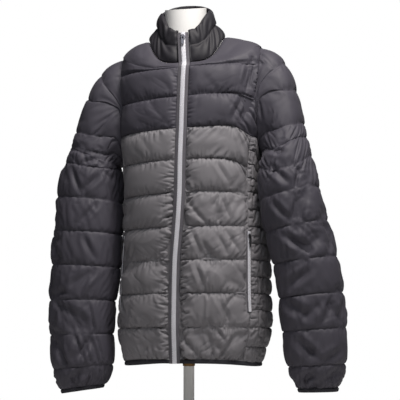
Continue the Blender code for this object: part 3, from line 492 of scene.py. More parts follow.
def valleys(u, v, cells, seed):
    """Creases along the zero lines of a random field: 1 in a crease, falling to 0 beside it."""
    slant = math.radians(cells.slant)
    along = u * math.cos(slant) + v * math.sin(slant)
    across = v * math.cos(slant) - u * math.sin(slant)
    field = rough(along / cells.long, across / cells.wide, seed)
    away = np.hypot(field, CREASE_ROUND) - CREASE_ROUND
    return np.clip(1 - away / cells.reach, 0, 1) ** 1.7


def wrinkled(points, normal, free, u, v, gap, amounts, seed):
    """Presses creases into settled cloth: puckers beside the stitching and slanting folds between.

    gap is each point's distance to its nearest stitched row, and every amount is a depth in
    metres, one number or one for each point."""
    beside = near(gap, PUCKER_REACH) * np.clip(gap / PUCKER_FROM, 0, 1)
    depth = amounts.pucker * beside * valleys(u, v, PUCKERS, seed)
    depth += amounts.gather * valleys(u, v, GATHERS, seed + 1)
    middle = np.clip(gap / FOLD_FROM, 0, 1) ** 0.7
    patches = np.clip(0.35 + 1.5 * rough(u / 0.055, v / 0.050, seed + 2), 0, 1)
    leaning = np.clip(0.5 + 3.0 * rough(u / 0.060, v / 0.066, seed + 3), 0, 1)
    folds = leaning * valleys(u, v, FOLDS_UP, seed + 4)
    folds += (1 - leaning) * valleys(u, v, FOLDS_DOWN, seed + 5)
    small = valleys(u, v, SMALL_FOLDS, seed + 6)
    depth += amounts.folds * middle * patches * (folds + SMALL_SHARE * small)
    return points - normal * (depth * free)[..., None]


# ---- meshes ----
def doubled(grid):
    """A grid with new rows and columns halfway, each on a smooth curve through four old ones."""
    for axis in (0, 1):
        grid = np.moveaxis(grid, axis, 0)
        before = np.concatenate([2 * grid[:1] - grid[1:2], grid[:-2]])
        after = np.concatenate([grid[2:], 2 * grid[-1:] - grid[-2:-1]])
        finer = np.empty((2 * len(grid) - 1, *grid.shape[1:]))
        finer[::2] = grid
        finer[1::2] = (9 * (grid[:-1] + grid[1:]) - before - after) / 16
        grid = np.moveaxis(finer, 0, axis)
    return grid


def grid_quads(rows, columns, start=0, around=False):
    """Corner numbers of the quads of a grid of points, its last column joined to its first."""
    across = columns if around else columns - 1
    r, c = np.meshgrid(np.arange(rows - 1), np.arange(across), indexing="ij")
    low = start + r * columns
    high = low + columns
    right = (c + 1) % columns
    return np.stack([low + c, low + right, high + right, high + c], -1).reshape(-1, 4)


def rim_faces(outer, inner):
    """Faces between an edge's fine points and every second of them on the inner side."""
    first, middle, last = outer[:-2:2], outer[1:-1:2], outer[2::2]
    here, next_one = inner[:-1], inner[1:]
    return (np.concatenate([np.stack([first, middle, here], -1),
                            np.stack([middle, last, next_one], -1)]),
            np.stack([here, middle, next_one], -1))


def new_mesh(name, points, faces, finish, smooth_angle):
    """A piece from its points and arrays of faces with three or four corners each."""
    faces = [np.asarray(group, dtype=np.int32) for group in faces if len(group)]
    counts = np.concatenate([np.full(len(group), group.shape[1]) for group in faces])
    corners = np.concatenate([group.reshape(-1) for group in faces])
    mesh = bpy.data.meshes.new(name)
    mesh.vertices.add(len(points))
    mesh.vertices.foreach_set("co", np.asarray(points, dtype=np.float32).reshape(-1))
    mesh.loops.add(len(corners))
    mesh.loops.foreach_set("vertex_index", corners)
    mesh.polygons.add(len(counts))
    mesh.polygons.foreach_set("loop_start", np.concatenate([[0], np.cumsum(counts)[:-1]]))
    mesh.polygons.foreach_set("loop_total", counts)
    mesh.update(calc_edges=True)
    mesh.validate()
    mesh.materials.append(finish)
    mesh.shade_smooth()
    mesh.set_sharp_from_angle(angle=math.radians(smooth_angle))
    made = bpy.data.objects.new(name, mesh)
    bpy.context.scene.collection.objects.link(made)
    return made


def signed_volume(points, faces):
    """Volume inside closed faces, negative where they point inwards."""
    total = 0.0
    for group in faces:
        for k in range(1, group.shape[1] - 1):
            a, b, c = points[group[:, 0]], points[group[:, k]], points[group[:, k + 1]]
            total += np.einsum("ij,ij->", a, np.cross(b, c)) / 6
    return total


def closed_mesh(name, points, faces, finish, smooth_angle):
    """A closed piece with its faces turned outwards."""
    faces = [np.asarray(group) for group in faces if len(group)]
    if signed_volume(points, faces) < 0:
        faces = [group[:, ::-1] for group in faces]
    return new_mesh(name, points, faces, finish, smooth_angle)


def cloth_wall(name, outer, inner, finish, around=False):
    """Closed cloth: the fine outer face, a lining half as fine, and their edges."""
    if inner.shape == outer.shape:
        inner = inner[::2, ::2]
    if around:
        outer = outer[:, :-1]
        inner = inner[:, :-1]
    rows, columns = outer.shape[:2]
    low_rows, low_columns = inner.shape[:2]
    start = rows * columns
    outer_at = np.arange(start).reshape(rows, columns)
    inner_at = start + np.arange(low_rows * low_columns).reshape(low_rows, low_columns)
    quads = [grid_quads(rows, columns, 0, around),
             grid_quads(low_rows, low_columns, start, around)[:, ::-1]]
    rims = []
    ends = [(outer_at[0], inner_at[0], False), (outer_at[-1], inner_at[-1], True)]
    if around:
        ends = [(np.append(o, o[0]), np.append(i, i[0]), flip) for o, i, flip in ends]
    else:
        ends += [(outer_at[:, 0], inner_at[:, 0], True), (outer_at[:, -1], inner_at[:, -1], False)]
    for outer_edge, inner_edge, flip in ends:
        for group in rim_faces(outer_edge, inner_edge):
            rims.append(group if flip else group[:, ::-1])
    points = np.concatenate([outer.reshape(-1, 3), inner.reshape(-1, 3)])
    return closed_mesh(name, points, [*quads, *rims], finish, CLOTH_SMOOTH)


def swept(name, sections, finish, closed=False, smooth_angle=40):
    """Solid whose cross-sections are the rows of an array, capped at its ends unless closed."""
    count, sides = sections.shape[:2]
    faces = [grid_quads(count, sides, 0, True)]
    points = sections.reshape(-1, 3)
    if closed:
        a = (count - 1) * sides + np.arange(sides)
        b = np.arange(sides)
        faces.append(np.stack([a, np.roll(a, -1), np.roll(b, -1), b], -1))
    else:
        middles = np.array([sections[0].mean(axis=0), sections[-1].mean(axis=0)])
        first = np.arange(sides)
        last = (count - 1) * sides + first
        low = np.full(sides, count * sides)
        points = np.concatenate([points, middles])
        faces += [np.stack([np.roll(first, -1), first, low], -1),
                  np.stack([last, np.roll(last, -1), low + 1], -1)]
    return closed_mesh(name, points, faces, finish, smooth_angle)


# Creases of the front and yoke panels: ring and degrees from the centre front, to the same.
FRONT_LEFT_CREASES = (
    (-4.05, 12, -4.95, 21, 0.0030, 0.0042), (-4.20, 27, -4.85, 18, 0.0022, 0.0036),
    (-3.10, 8, -3.85, 17, 0.0026, 0.0040), (-2.15, 30, -2.90, 41, 0.0022, 0.0044),
    (-5.15, 30, -5.85, 40, 0.0024, 0.0040), (-1.10, 25, -1.80, 38, 0.0018, 0.0040),
    (-6.15, 22, -6.85, 29, 0.0022, 0.0034), (-0.20, 44, -0.85, 52, 0.0020, 0.0036),
    (-3.25, 46, -3.80, 38, 0.0016, 0.0034),
)
FRONT_RIGHT_CREASES = (
    (-1.15, 14, -1.85, 22, 0.0018, 0.0040), (-2.20, 20, -2.80, 12, 0.0022, 0.0038),
    (-3.15, 10, -3.80, 19, 0.0024, 0.0038), (-4.20, 22, -4.80, 13, 0.0020, 0.0040),
    (-5.10, 11, -5.80, 24, 0.0026, 0.0042), (-6.10, 35, -6.75, 28, 0.0018, 0.0036),
    (-4.15, 44, -4.85, 36, 0.0016, 0.0036),
)
YOKE_LEFT_CREASES = (
    (2.10, 53, 0.95, 48, 0.0056, 0.0150), (1.00, 52, 0.05, 44, 0.0056, 0.0160),
    (1.95, 57, 1.10, 53, 0.0042, 0.0050), (0.92, 57, 0.15, 49, 0.0036, 0.0050),
    (1.85, 50, 1.20, 46, 0.0030, 0.0040), (0.85, 45, 0.20, 36, 0.0024, 0.0042),
    (2.55, 58, 2.05, 56, 0.0030, 0.0044), (1.60, 53, 1.10, 49, 0.0024, 0.0034),
)
YOKE_RIGHT_CREASES = (
    (1.85, 50, 1.20, 44, 0.0020, 0.0042), (0.85, 52, 0.20, 46, 0.0022, 0.0042),
    (0.75, 20, 0.25, 30, 0.0012, 0.0040),
)
# Creases of the sleeves: sleeve line from the underarm and degrees from the body, forward.
SLEEVE_LEFT_CREASES = (
    (5.08, 42, 5.64, 88, 0.0062, 0.0078), (5.64, 88, 5.25, 106, 0.0042, 0.0056),
    (6.95, 100, 6.55, 150, 0.0042, 0.0060), (7.50, 58, 7.10, 96, 0.0045, 0.0060),
    (6.20, 60, 6.75, 92, 0.0048, 0.0070), (4.75, 55, 4.30, 100, 0.0045, 0.0065),
    (3.30, 70, 3.80, 112, 0.0040, 0.0065), (5.20, 120, 5.70, 140, 0.0034, 0.0060),
    (0.10, 60, 0.85, 95, 0.0041, 0.0048), (0.15, 100, 0.90, 75, 0.0030, 0.0042),
    (1.15, 62, 1.85, 96, 0.0043, 0.0050), (1.20, 105, 1.80, 128, 0.0027, 0.0044),
    (2.15, 58, 2.85, 84, 0.0041, 0.0046), (2.20, 110, 2.80, 92, 0.0032, 0.0042),
    (3.15, 66, 3.85, 100, 0.0038, 0.0048), (4.20, 72, 4.85, 60, 0.0030, 0.0040),
    (5.15, 95, 5.85, 74, 0.0035, 0.0046), (6.20, 70, 6.80, 98, 0.0030, 0.0044),
    (1.20, 250, 1.85, 228, 0.0035, 0.0048), (3.15, 262, 3.85, 235, 0.0032, 0.0046),
    (5.15, 240, 5.85, 262, 0.0030, 0.0044),
)
SLEEVE_RIGHT_CREASES = (
    (4.10, 62, 4.70, 100, 0.0045, 0.0065), (5.15, 104, 5.75, 64, 0.0050, 0.0070),
    (6.20, 58, 6.80, 96, 0.0045, 0.0070), (7.10, 70, 7.60, 110, 0.0040, 0.0060),
    (3.85, 120, 3.30, 150, 0.0035, 0.0060), (5.25, 120, 5.80, 140, 0.0030, 0.0060),
    (0.10, 66, 0.85, 92, 0.0038, 0.0046), (1.15, 58, 1.85, 88, 0.0041, 0.0050),
    (1.20, 112, 1.80, 92, 0.0024, 0.0042), (2.15, 62, 2.85, 90, 0.0035, 0.0046),
    (3.15, 80, 3.85, 60, 0.0035, 0.0044), (4.15, 60, 4.85, 88, 0.0038, 0.0048),
    (5.20, 100, 5.85, 80, 0.0030, 0.0044), (6.15, 62, 6.80, 84, 0.0035, 0.0044),
    (0.15, 240, 0.85, 262, 0.0030, 0.0046), (2.15, 258, 2.85, 236, 0.0035, 0.0048),
    (4.20, 236, 4.80, 256, 0.0027, 0.0044),
)


def quilted(piece, node):
    """Puts a quilted piece on the jacket in place of its solid, filled with down."""
    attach(piece, "jacket")
    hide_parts(node)


def run_along(points):
    """Length along a row of points, from its first to each."""
    return np.concatenate([[0], np.cumsum(np.linalg.norm(np.diff(points, axis=0), axis=1))])


# ---- torso panels ----
def even_shares(surface, ring, first, last, count, samples=400):
    """Shares of the way from one angle to another at which points lie evenly along the cloth."""
    share = np.linspace(0, 1, samples)
    line = surface(np.full(samples, float(ring)), first + (last - first) * share)
    length = run_along(line)
    return np.interp(np.linspace(0, length[-1], count), length, share)


def odd_count(length):
    """An odd number of points that divides a length into steps near the thread spacing."""
    return 2 * max(1, round(length / THREAD / 2)) + 1


def channel_rows(lines, count):
    """Rows between stitched lines: their places and their shares of the channel's width."""
    steps = np.arange(count) / count
    places = [low + (high - low) * steps for low, high in zip(lines[:-1], lines[1:])]
    shares = np.tile(steps, len(lines) - 1)
    return np.append(np.concatenate(places), lines[-1]), np.append(shares, 0.0)


def held_points(shape, rows, columns=(0, -1)):
    """1 where the cloth is free and 0 along its stitched rows and edge columns."""
    free = np.ones(shape)
    free[list(rows)] = 0
    for column in columns:
        free[:, column] = 0
    return free


def loft_over(shares, widths, puff, flat):
    """Down's loft: quickly full beside the stitches, less in a narrow channel."""
    rise = np.sin(np.pi * np.clip(shares, 0.02, 0.98)) ** 0.4
    height = puff * rise[:, None] * np.clip(widths / FULL_CHANNEL, NARROW_CHANNEL, 1)
    return np.maximum(height * flat, LEAST_LOFT)


def channel_widths(points, rows):
    """Width of the channel that each row lies in, measured between its stitched rows."""
    rows = np.asarray(rows)
    index = np.clip(np.searchsorted(rows, np.arange(points.shape[0]), side="right") - 1,
                    0, len(rows) - 2)
    return np.linalg.norm(points[rows[index + 1]] - points[rows[index]], axis=-1)


def row_gaps(points, shares, rows):
    """Distance from each point to the nearer of the stitched rows beside it."""
    return np.minimum(shares, 1 - shares)[:, None] * channel_widths(points, rows)


def between_ends(count):
    """1 for each row of a panel and 0 for its first and last."""
    inside = np.ones(count)
    inside[[0, -1]] = 0
    return inside


def wandering(surface, normal, seed):
    """Stitched lines drift a little in and out between a panel's edges."""
    u = lengths_of(surface, 1)
    edge = np.clip(np.minimum(u, u[:, -1:] - u) / DRIFT_FROM, 0, 1)
    wave = rough(u / DRIFT_LONG, np.arange(len(u))[:, None] / DRIFT_ROWS, seed)
    drift = LINE_DRIFT * edge * wave * between_ends(len(u))[:, None]
    return surface + normal * drift[..., None]


def calm_share(widths):
    """1 where a channel is so narrow that its cloth lies plain, and 0 in a wide one."""
    return np.clip(CALM_FROM - widths / CALM_WIDTH, 0, 1)


def calmed(points, base, normal, free, loft, calm):
    """Settled cloth drawn to a plain swelling by a share."""
    plain = base + normal * (loft * CALM_FILL * free)[..., None]
    return points + (plain - points) * calm[..., None]


def near(distance, reach):
    """1 beside an edge, falling with distance as a Gauss curve."""
    return np.exp(-(distance / reach) ** 2)


FINE_LIMIT = 10000  # panels with fewer points than this are wrinkled twice as finely
# How a part of the jacket is filled: loft, spare cloth as shares of its length along the part and
# across it, more of it beside the zip and the hem, and the depth of its puckers and folds.
Style = namedtuple("Style", "puff along across zip_gather hem_gather pucker folds")
BODY_STYLE = Style(0.0095, 0.100, 0.100, 0.18, 0.16, 0.0022, 0.0078)
SIDE_STYLE = Style(0.0066, 0.180, 0.170, 0.00, 0.10, 0.0004, 0.0006)
YOKE_STYLE = Style(0.0085, 0.075, 0.060, 0.00, 0.00, 0.0013, 0.0022)
Strip = namedtuple("Strip", "from_ring to_ring at_end")      # flat cloth under a pocket zip
POCKET_STRIP = Strip(POCKET_BOTTOM - 0.1, POCKET_TOP + 0.1, 1)
STRIP_SIDE = 0.0010  # how far the flat cloth reaches past the zip's edge
STRIP_FADE = 0.15  # rings over which it gives way at its ends
STRIP_PRESS, STRIP_REACH = 0.9, 0.009  # share of the loft pressed out beside it, and how far
EDGE_LOFT = 0.35  # share of the loft at a panel's sides
EDGE_WIDE, EDGE_MORE = 0.012, 0.026  # distance over which it fills, and more on a shoulder
SHOULDER_RING = 2.0  # the cloth lies plain over a shoulder from this ring
SHOULDER_FADE = 0.25
SHOULDER_CALM = 0.55  # share of the wrinkles smoothed away there
HEM_REACH = 0.022  # how far spare cloth gathers from the hem
ZIP_REACH = 0.020  # and from the centre zip
ZIP_CREASES, ZIP_CREASE_REACH = 0.0036, 0.021  # depth and reach of the creases beside it
ZIP_FROM, ZIP_CREASES_FROM = -0.8, -0.6  # rings below which the cloth gathers at the zip
ZIP_FADE = 1.4
FOLDS_ABOVE = 0.20  # share of a front's folds that its upper channels have
FOLDS_FROM, FOLDS_FADE = -1.2, 2.2


def torso_panel(node, rings, turns, shares, stitched, style, finish, seed,
                zip_gather=False, flat_strips=(), creases=()):
    """A quilted panel of the torso: its surface, held points, loft and spare cloth, settled."""
    rings = np.broadcast_to(rings, turns.shape)
    surface = torso(rings, turns)
    normal = outward(torso, np.minimum(rings, NECK - 2 * SMALL_STEP), turns)
    free = held_points(turns.shape, stitched)
    u = lengths_of(surface, 1)
    v = lengths_of(surface, 0)
    base = wandering(surface, normal, seed)
    base[stitched[1:-1]] -= GROOVE * normal[stitched[1:-1]]
    widths = channel_widths(base, stitched)
    to_edge = np.minimum(u, u[:, -1:] - u)
    shoulder = np.broadcast_to(np.clip((rings - SHOULDER_RING) / SHOULDER_FADE, 0, 1), turns.shape)
    filling = np.clip(to_edge / (EDGE_WIDE + EDGE_MORE * shoulder), 0, 1) ** 0.5
    flat = EDGE_LOFT + (1 - EDGE_LOFT) * filling
    for strip in flat_strips:
        distance = u[:, -1:] - u if strip.at_end else u
        fade = np.clip((rings - strip.from_ring) / STRIP_FADE, 0, 1)
        fade = fade * np.clip((strip.to_ring - rings) / STRIP_FADE, 0, 1)
        free = free * (1 - np.round(fade) * (distance < POCKET_ZIP_HALF + STRIP_SIDE))
        flat = flat * (1 - STRIP_PRESS * fade * near(distance, STRIP_REACH))
    loft = loft_over(shares, widths, style.puff, flat)
    loft = varied(loft, LOFT_VARIES, u / 0.05, v / 0.06, seed + 2)
    along = varied(style.along, SPARE_VARIES, u / 0.03, v / 0.05, seed + 3)
    across = varied(style.across, SPARE_VARIES, u / 0.05, v / 0.03, seed + 4)
    gather, lower = 0.0, 1.0
    if zip_gather:
        below = np.clip((ZIP_FROM - rings) / ZIP_FADE, 0, 1)
        along = along + style.zip_gather * below * near(u, ZIP_REACH)
        gather = (ZIP_CREASES * near(u, ZIP_CREASE_REACH)
                  * np.clip((ZIP_CREASES_FROM - rings) / ZIP_FADE, 0, 1))
        lower = FOLDS_ABOVE + (1 - FOLDS_ABOVE) * np.clip((FOLDS_FROM - rings) / FOLDS_FADE, 0, 1)
    across = across + style.hem_gather * near(v, HEM_REACH) * (rings < HEM + 3)
    x = settled(base, normal, free, loft, along, across, seed)
    calm = calm_share(widths)
    x = calmed(x, base, normal, free, loft, np.maximum(calm, shoulder))
    calm = np.maximum(calm, SHOULDER_CALM * shoulder)
    amounts = [np.broadcast_to(amount, u.shape) for amount in
               (style.pucker * (1 - calm) * flat, gather, style.folds * lower * (1 - calm))]
    gap = row_gaps(base, shares, stitched)
    inner = surface - normal * WALL
    if u.size < FINE_LIMIT:
        x, normal, free, u, v, gap = map(doubled, (x, normal, free, u, v, gap))
        amounts = map(doubled, amounts)
        free = np.clip(free, 0, 1)
    x = wrinkled(x, normal, free, u, v, gap, Wrinkles(*amounts), seed + 5)
    x = creased(x, normal, free, torso, creases)
    quilted(cloth_wall(f"{node}_quilted", x, inner, finish), node)


DROOP_FROM, DROOP_WIDE = 34, 30  # degrees from the centre front
DROOP_RINGS = (-2.6, -1.3, 0.0, 1.0, 2.2)
DROOP_AMOUNTS = (0.0, 0.26, 0.30, 0.19, 0.0)


def droop(rings, turns):
    """How far the quilt lines sag towards the wearer's left armhole, in ring numbers."""
    share = np.clip((np.degrees(turns) - DROOP_FROM) / DROOP_WIDE, 0, 1) * (turns < math.pi / 2)
    share = share * share * (3 - 2 * share)
    return share * np.interp(rings, DROOP_RINGS, DROOP_AMOUNTS)


def body_rows():
    """Fine rows of the lower body, with the top row just short of the yoke seam."""
    rings, shares = channel_rows(np.arange(HEM, YOKE + 1), CHANNEL_STEPS)
    rings[-1] -= YOKE_GAP
    return rings, shares, list(range(0, len(rings), CHANNEL_STEPS))


# Widths of the panels in metres, which set how many columns of points each has, and the rings
# at which the columns lie evenly along the cloth.
FRONT_WIDE, BACK_WIDE, SIDE_WIDE = 0.150, 0.340, 0.100
YOKE_FRONT_WIDE, YOKE_BACK_WIDE = 0.155, 0.330
SLEEVE_AROUND, COLLAR_AROUND = 0.400, 0.370
EVEN_RING, EVEN_YOKE_RING = -3.5, 0.5


def build_fronts(finish):
    """The two lower front panels, mirrored but for their droop, seeds and creases."""
    rings, shares, stitched = body_rows()
    start = front_turn(rings, ZIP_HALF, TORSO, HEM)
    edge = SIDE_SEAM - seam_turn()
    share = even_shares(torso, EVEN_RING, float(start.mean()), edge, odd_count(FRONT_WIDE))
    turns = start[:, None] + (edge - start)[:, None] * share
    for side, name, creases in ((1, "left", FRONT_LEFT_CREASES),
                                (-1, "right", FRONT_RIGHT_CREASES)):
        torso_panel(f"front_{name}", rings[:, None] - droop(rings[:, None], side * turns),
                    side * turns, shares, stitched, BODY_STYLE, finish, 20 + side, True,
                    (POCKET_STRIP,), creases)


def build_back(finish):
    """The lower back panel, in one piece between the side seams."""
    rings, shares, stitched = body_rows()
    first = math.pi - SIDE_SEAM + seam_turn()
    share = even_shares(torso, EVEN_RING, first, 2 * math.pi - first, odd_count(BACK_WIDE))
    turns = np.tile(first + (2 * math.pi - 2 * first) * share, (len(rings), 1))
    torso_panel("back", rings[:, None], turns, shares, stitched, BODY_STYLE, finish, 31)


def build_sides(finish):
    """Side panels, quilted at half the spacing; their upper lines bend to meet the armhole."""
    lines = np.arange(HEM, YOKE + 0.1, 0.5)
    count = 2 * round(CHANNEL / THREAD / 4)
    rows, shares = channel_rows(lines, count)
    stitched = list(range(0, len(rows), count))
    first = SIDE_SEAM + seam_turn()
    columns = first + (math.pi - 2 * first) * np.linspace(0, 1, odd_count(SIDE_WIDE))
    share = np.clip((rows[:, None] - BEND_FROM) / (YOKE - BEND_FROM), 0, 1)
    front_strip = POCKET_STRIP._replace(at_end=0)
    for side, name in ((1, "left"), (-1, "right")):
        top = np.minimum(armhole_floor(columns), YOKE - droop(YOKE, side * columns)) - YOKE_GAP
        rings = np.where(rows[:, None] < BEND_FROM, rows[:, None],
                         BEND_FROM + share * (top - BEND_FROM))
        turns = np.tile(side * columns, (len(rows), 1))
        torso_panel(f"side_{name}", rings, turns, shares, stitched, SIDE_STYLE, finish,
                    40 + side, False, (front_strip,))


def yoke_rows():
    """Fine rows of a yoke, closer together about the shoulder tip, and its stitched rows."""
    low, low_shares = channel_rows(np.array([0.0, 1.0, 2.0]), CHANNEL_STEPS)
    half = CHANNEL_STEPS // 2
    t = np.arange(1, half + 1) / half
    rings = np.concatenate([low, SHOULDER_TIP - (1 - t) ** 2,
                            SHOULDER_TIP + (NECK - SHOULDER_TIP) * t ** 1.5])
    shares = np.concatenate([low_shares, (rings[len(low):] - 2) / (NECK - 2)])
    rings[0] += YOKE_GAP
    return rings, shares, [0, CHANNEL_STEPS, 2 * CHANNEL_STEPS, len(rings) - 1]


def build_yokes(finish):
    """The two front yokes and the back yoke, from the yoke seam over the shoulder to the neck."""
    rings, shares, stitched = yoke_rows()
    gap = seam_turn()
    start = front_turn(rings, ZIP_HALF, TORSO, HEM)
    for side, name, creases in ((1, "left", YOKE_LEFT_CREASES), (-1, "right", YOKE_RIGHT_CREASES)):
        edge = math.pi / 2 - armhole_half(rings) - gap
        for _ in range(6):
            edge = math.pi / 2 - armhole_half(rings - droop(rings, side * edge)) - gap
        share = even_shares(torso, EVEN_YOKE_RING, float(start.mean()), float(edge[:9].mean()),
                            odd_count(YOKE_FRONT_WIDE))
        turns = side * (start[:, None] + (edge - start)[:, None] * share)
        torso_panel(f"yoke_front_{name}", rings[:, None] - droop(rings[:, None], turns), turns,
                    shares, stitched, YOKE_STYLE, finish, 50 + side, creases=creases)
    first = math.pi / 2 + armhole_half(rings) + gap
    share = even_shares(torso, EVEN_YOKE_RING, float(first[:9].mean()),
                        2 * math.pi - float(first[:9].mean()), odd_count(YOKE_BACK_WIDE))
    turns = first[:, None] + (2 * math.pi - 2 * first)[:, None] * share
    torso_panel("yoke_back", rings[:, None], turns, shares, stitched, YOKE_STYLE, finish, 60)


# ---- sleeves ----
def section(table, side, place, angle):
    """Points of a sleeve's sections: 0 at the underarm line; angle 0 at the body, then forward.

    A squared circle between the section's inner and outer end, half its depth to each side."""
    fields = np.moveaxis(blended(table, place), -1, 0)
    outer_x, outer_z, inner_x, inner_z, middle_y, half_depth = fields
    forward, inwards = rounded(angle, SLEEVE_SQUARENESS)
    across = -inwards / 2
    x = (outer_x + inner_x) / 2 + (outer_x - inner_x) * across
    z = (outer_z + inner_z) / 2 + (outer_z - inner_z) * across
    return np.stack([side * x, middle_y - half_depth * forward, z], -1)


def armhole_edge(side, angles):
    """Points of a sleeve's sewn edge and the torso's normals there, inside the armhole's gap.

    The armhole is an ellipse in ring number and angle; the sixteen even columns of the sleeve
    meet it at fixed steps, and the columns between them follow a curve through those."""
    corner = math.pi / 2 - armhole_half(YOKE)
    inner = math.pi / 2 - armhole_half(YOKE) * np.array([0.0, 0.52])
    floor = armhole_floor(np.append(inner, corner))
    half = np.degrees(np.arccos((ARMHOLE_MIDDLE - np.append(floor, ARMHOLE_CLIMB))
                                / ARMHOLE_REACH))
    stops = np.concatenate([half, [180.0], 360 - half[:0:-1]])
    spare = stops - np.arange(ARMHOLE_STEPS) * 360 / ARMHOLE_STEPS
    spare = np.concatenate([spare[-2:], spare, spare[:3]])
    place = angles / (2 * np.pi) * ARMHOLE_STEPS
    turn = angles + np.radians(blended(spare[:, None], place + 2)[..., 0])
    rings = ARMHOLE_MIDDLE - ARMHOLE_REACH * np.cos(turn)
    around = side * (math.pi / 2 - ARMHOLE_HALF * np.sin(turn))
    edge = torso(rings, around)
    normal = outward(torso, rings, around)
    inwards = edge[:-1].mean(axis=0) - edge
    inwards -= normal * np.sum(inwards * normal, axis=1, keepdims=True)
    return edge + unit(inwards) * 2 * SEAM, normal


def line_places(table, lines, angles):
    """Where each row lies at each angle: 0 to 1 over the cap, then by the sleeve's sections."""
    height = np.degrees(np.minimum(angles, 2 * np.pi - angles)) / CAP_STEP
    known = [np.zeros_like(angles)] + [steady(line, height) for line in table]
    known += [np.full_like(angles, line - CAP_CHANNELS + 1)
              for line in range(len(known), int(lines[-1]) + 1)]
    known = np.array(known)
    low = np.minimum(lines.astype(int), len(known) - 2)
    return known[low] + (known[low + 1] - known[low]) * (lines - low)[:, None]


def sleeve_base(table, places, side, angles, edge, normal):
    """A sleeve's stitched surface at a grid of places and angles.

    Over the cap each column is a Hermite curve from the armhole's edge to the first section."""
    start = section(table, side, np.zeros_like(angles), angles)
    onwards = section(table, side, np.full_like(angles, 0.05), angles) - start
    reach = np.linalg.norm(start - edge, axis=-1, keepdims=True)
    away = unit(CAP_AWAY * (side, 1, 1) + CAP_SPREAD * normal) * reach
    onwards = unit(onwards) * reach
    f = np.minimum(places, 1)[..., None]
    cap = ((2 * f**3 - 3 * f**2 + 1) * edge + (f**3 - 2 * f**2 + f) * away
           + (3 * f**2 - 2 * f**3) * start + (f**3 - f**2) * onwards)
    below = section(table, side, np.maximum(places - 1, 0), np.broadcast_to(angles, places.shape))
    return np.where(places[..., None] < 1, cap, below)


SLEEVE_STYLE = Style(0.0056, 0.085, 0.150, 0.00, 0.10, 0.0022, 0.0084)
SLEEVE_GROOVE = 0.0017  # its quilting pulls deeper than the body's
SLEEVE_LIFT = 0.0018  # a full sleeve's cloth starts this far over its solid, before its groove
LIFT_FROM = 4.5  # above this line it starts on the solid
# More down where a sleeve rests on the body: how much, its angle in degrees and its width, and
# the line it is centred on with half its length in lines.
NearSide = namedtuple("NearSide", "fill turn wide line long")
NEAR_SIDE = NearSide(0.0042, 10.0, 34, 6.4, 2.6)
SLEEVE_BODY_SIDE = math.radians(75)  # cloth this near the body keeps to its solid's height
LEAST_CHANNEL = 0.006  # cloth is held where a channel is narrower than this
CAP_FROM, CAP_FADE = 2.5, 2.5  # lines over which a sleeve fills below its cap
CAP_LOFT, CAP_ALONG, CAP_ACROSS = 0.80, 0.12, 0.10  # shares of a sleeve's that its cap has
CUFF_REACH = 0.030  # how far spare cloth gathers from the cuff


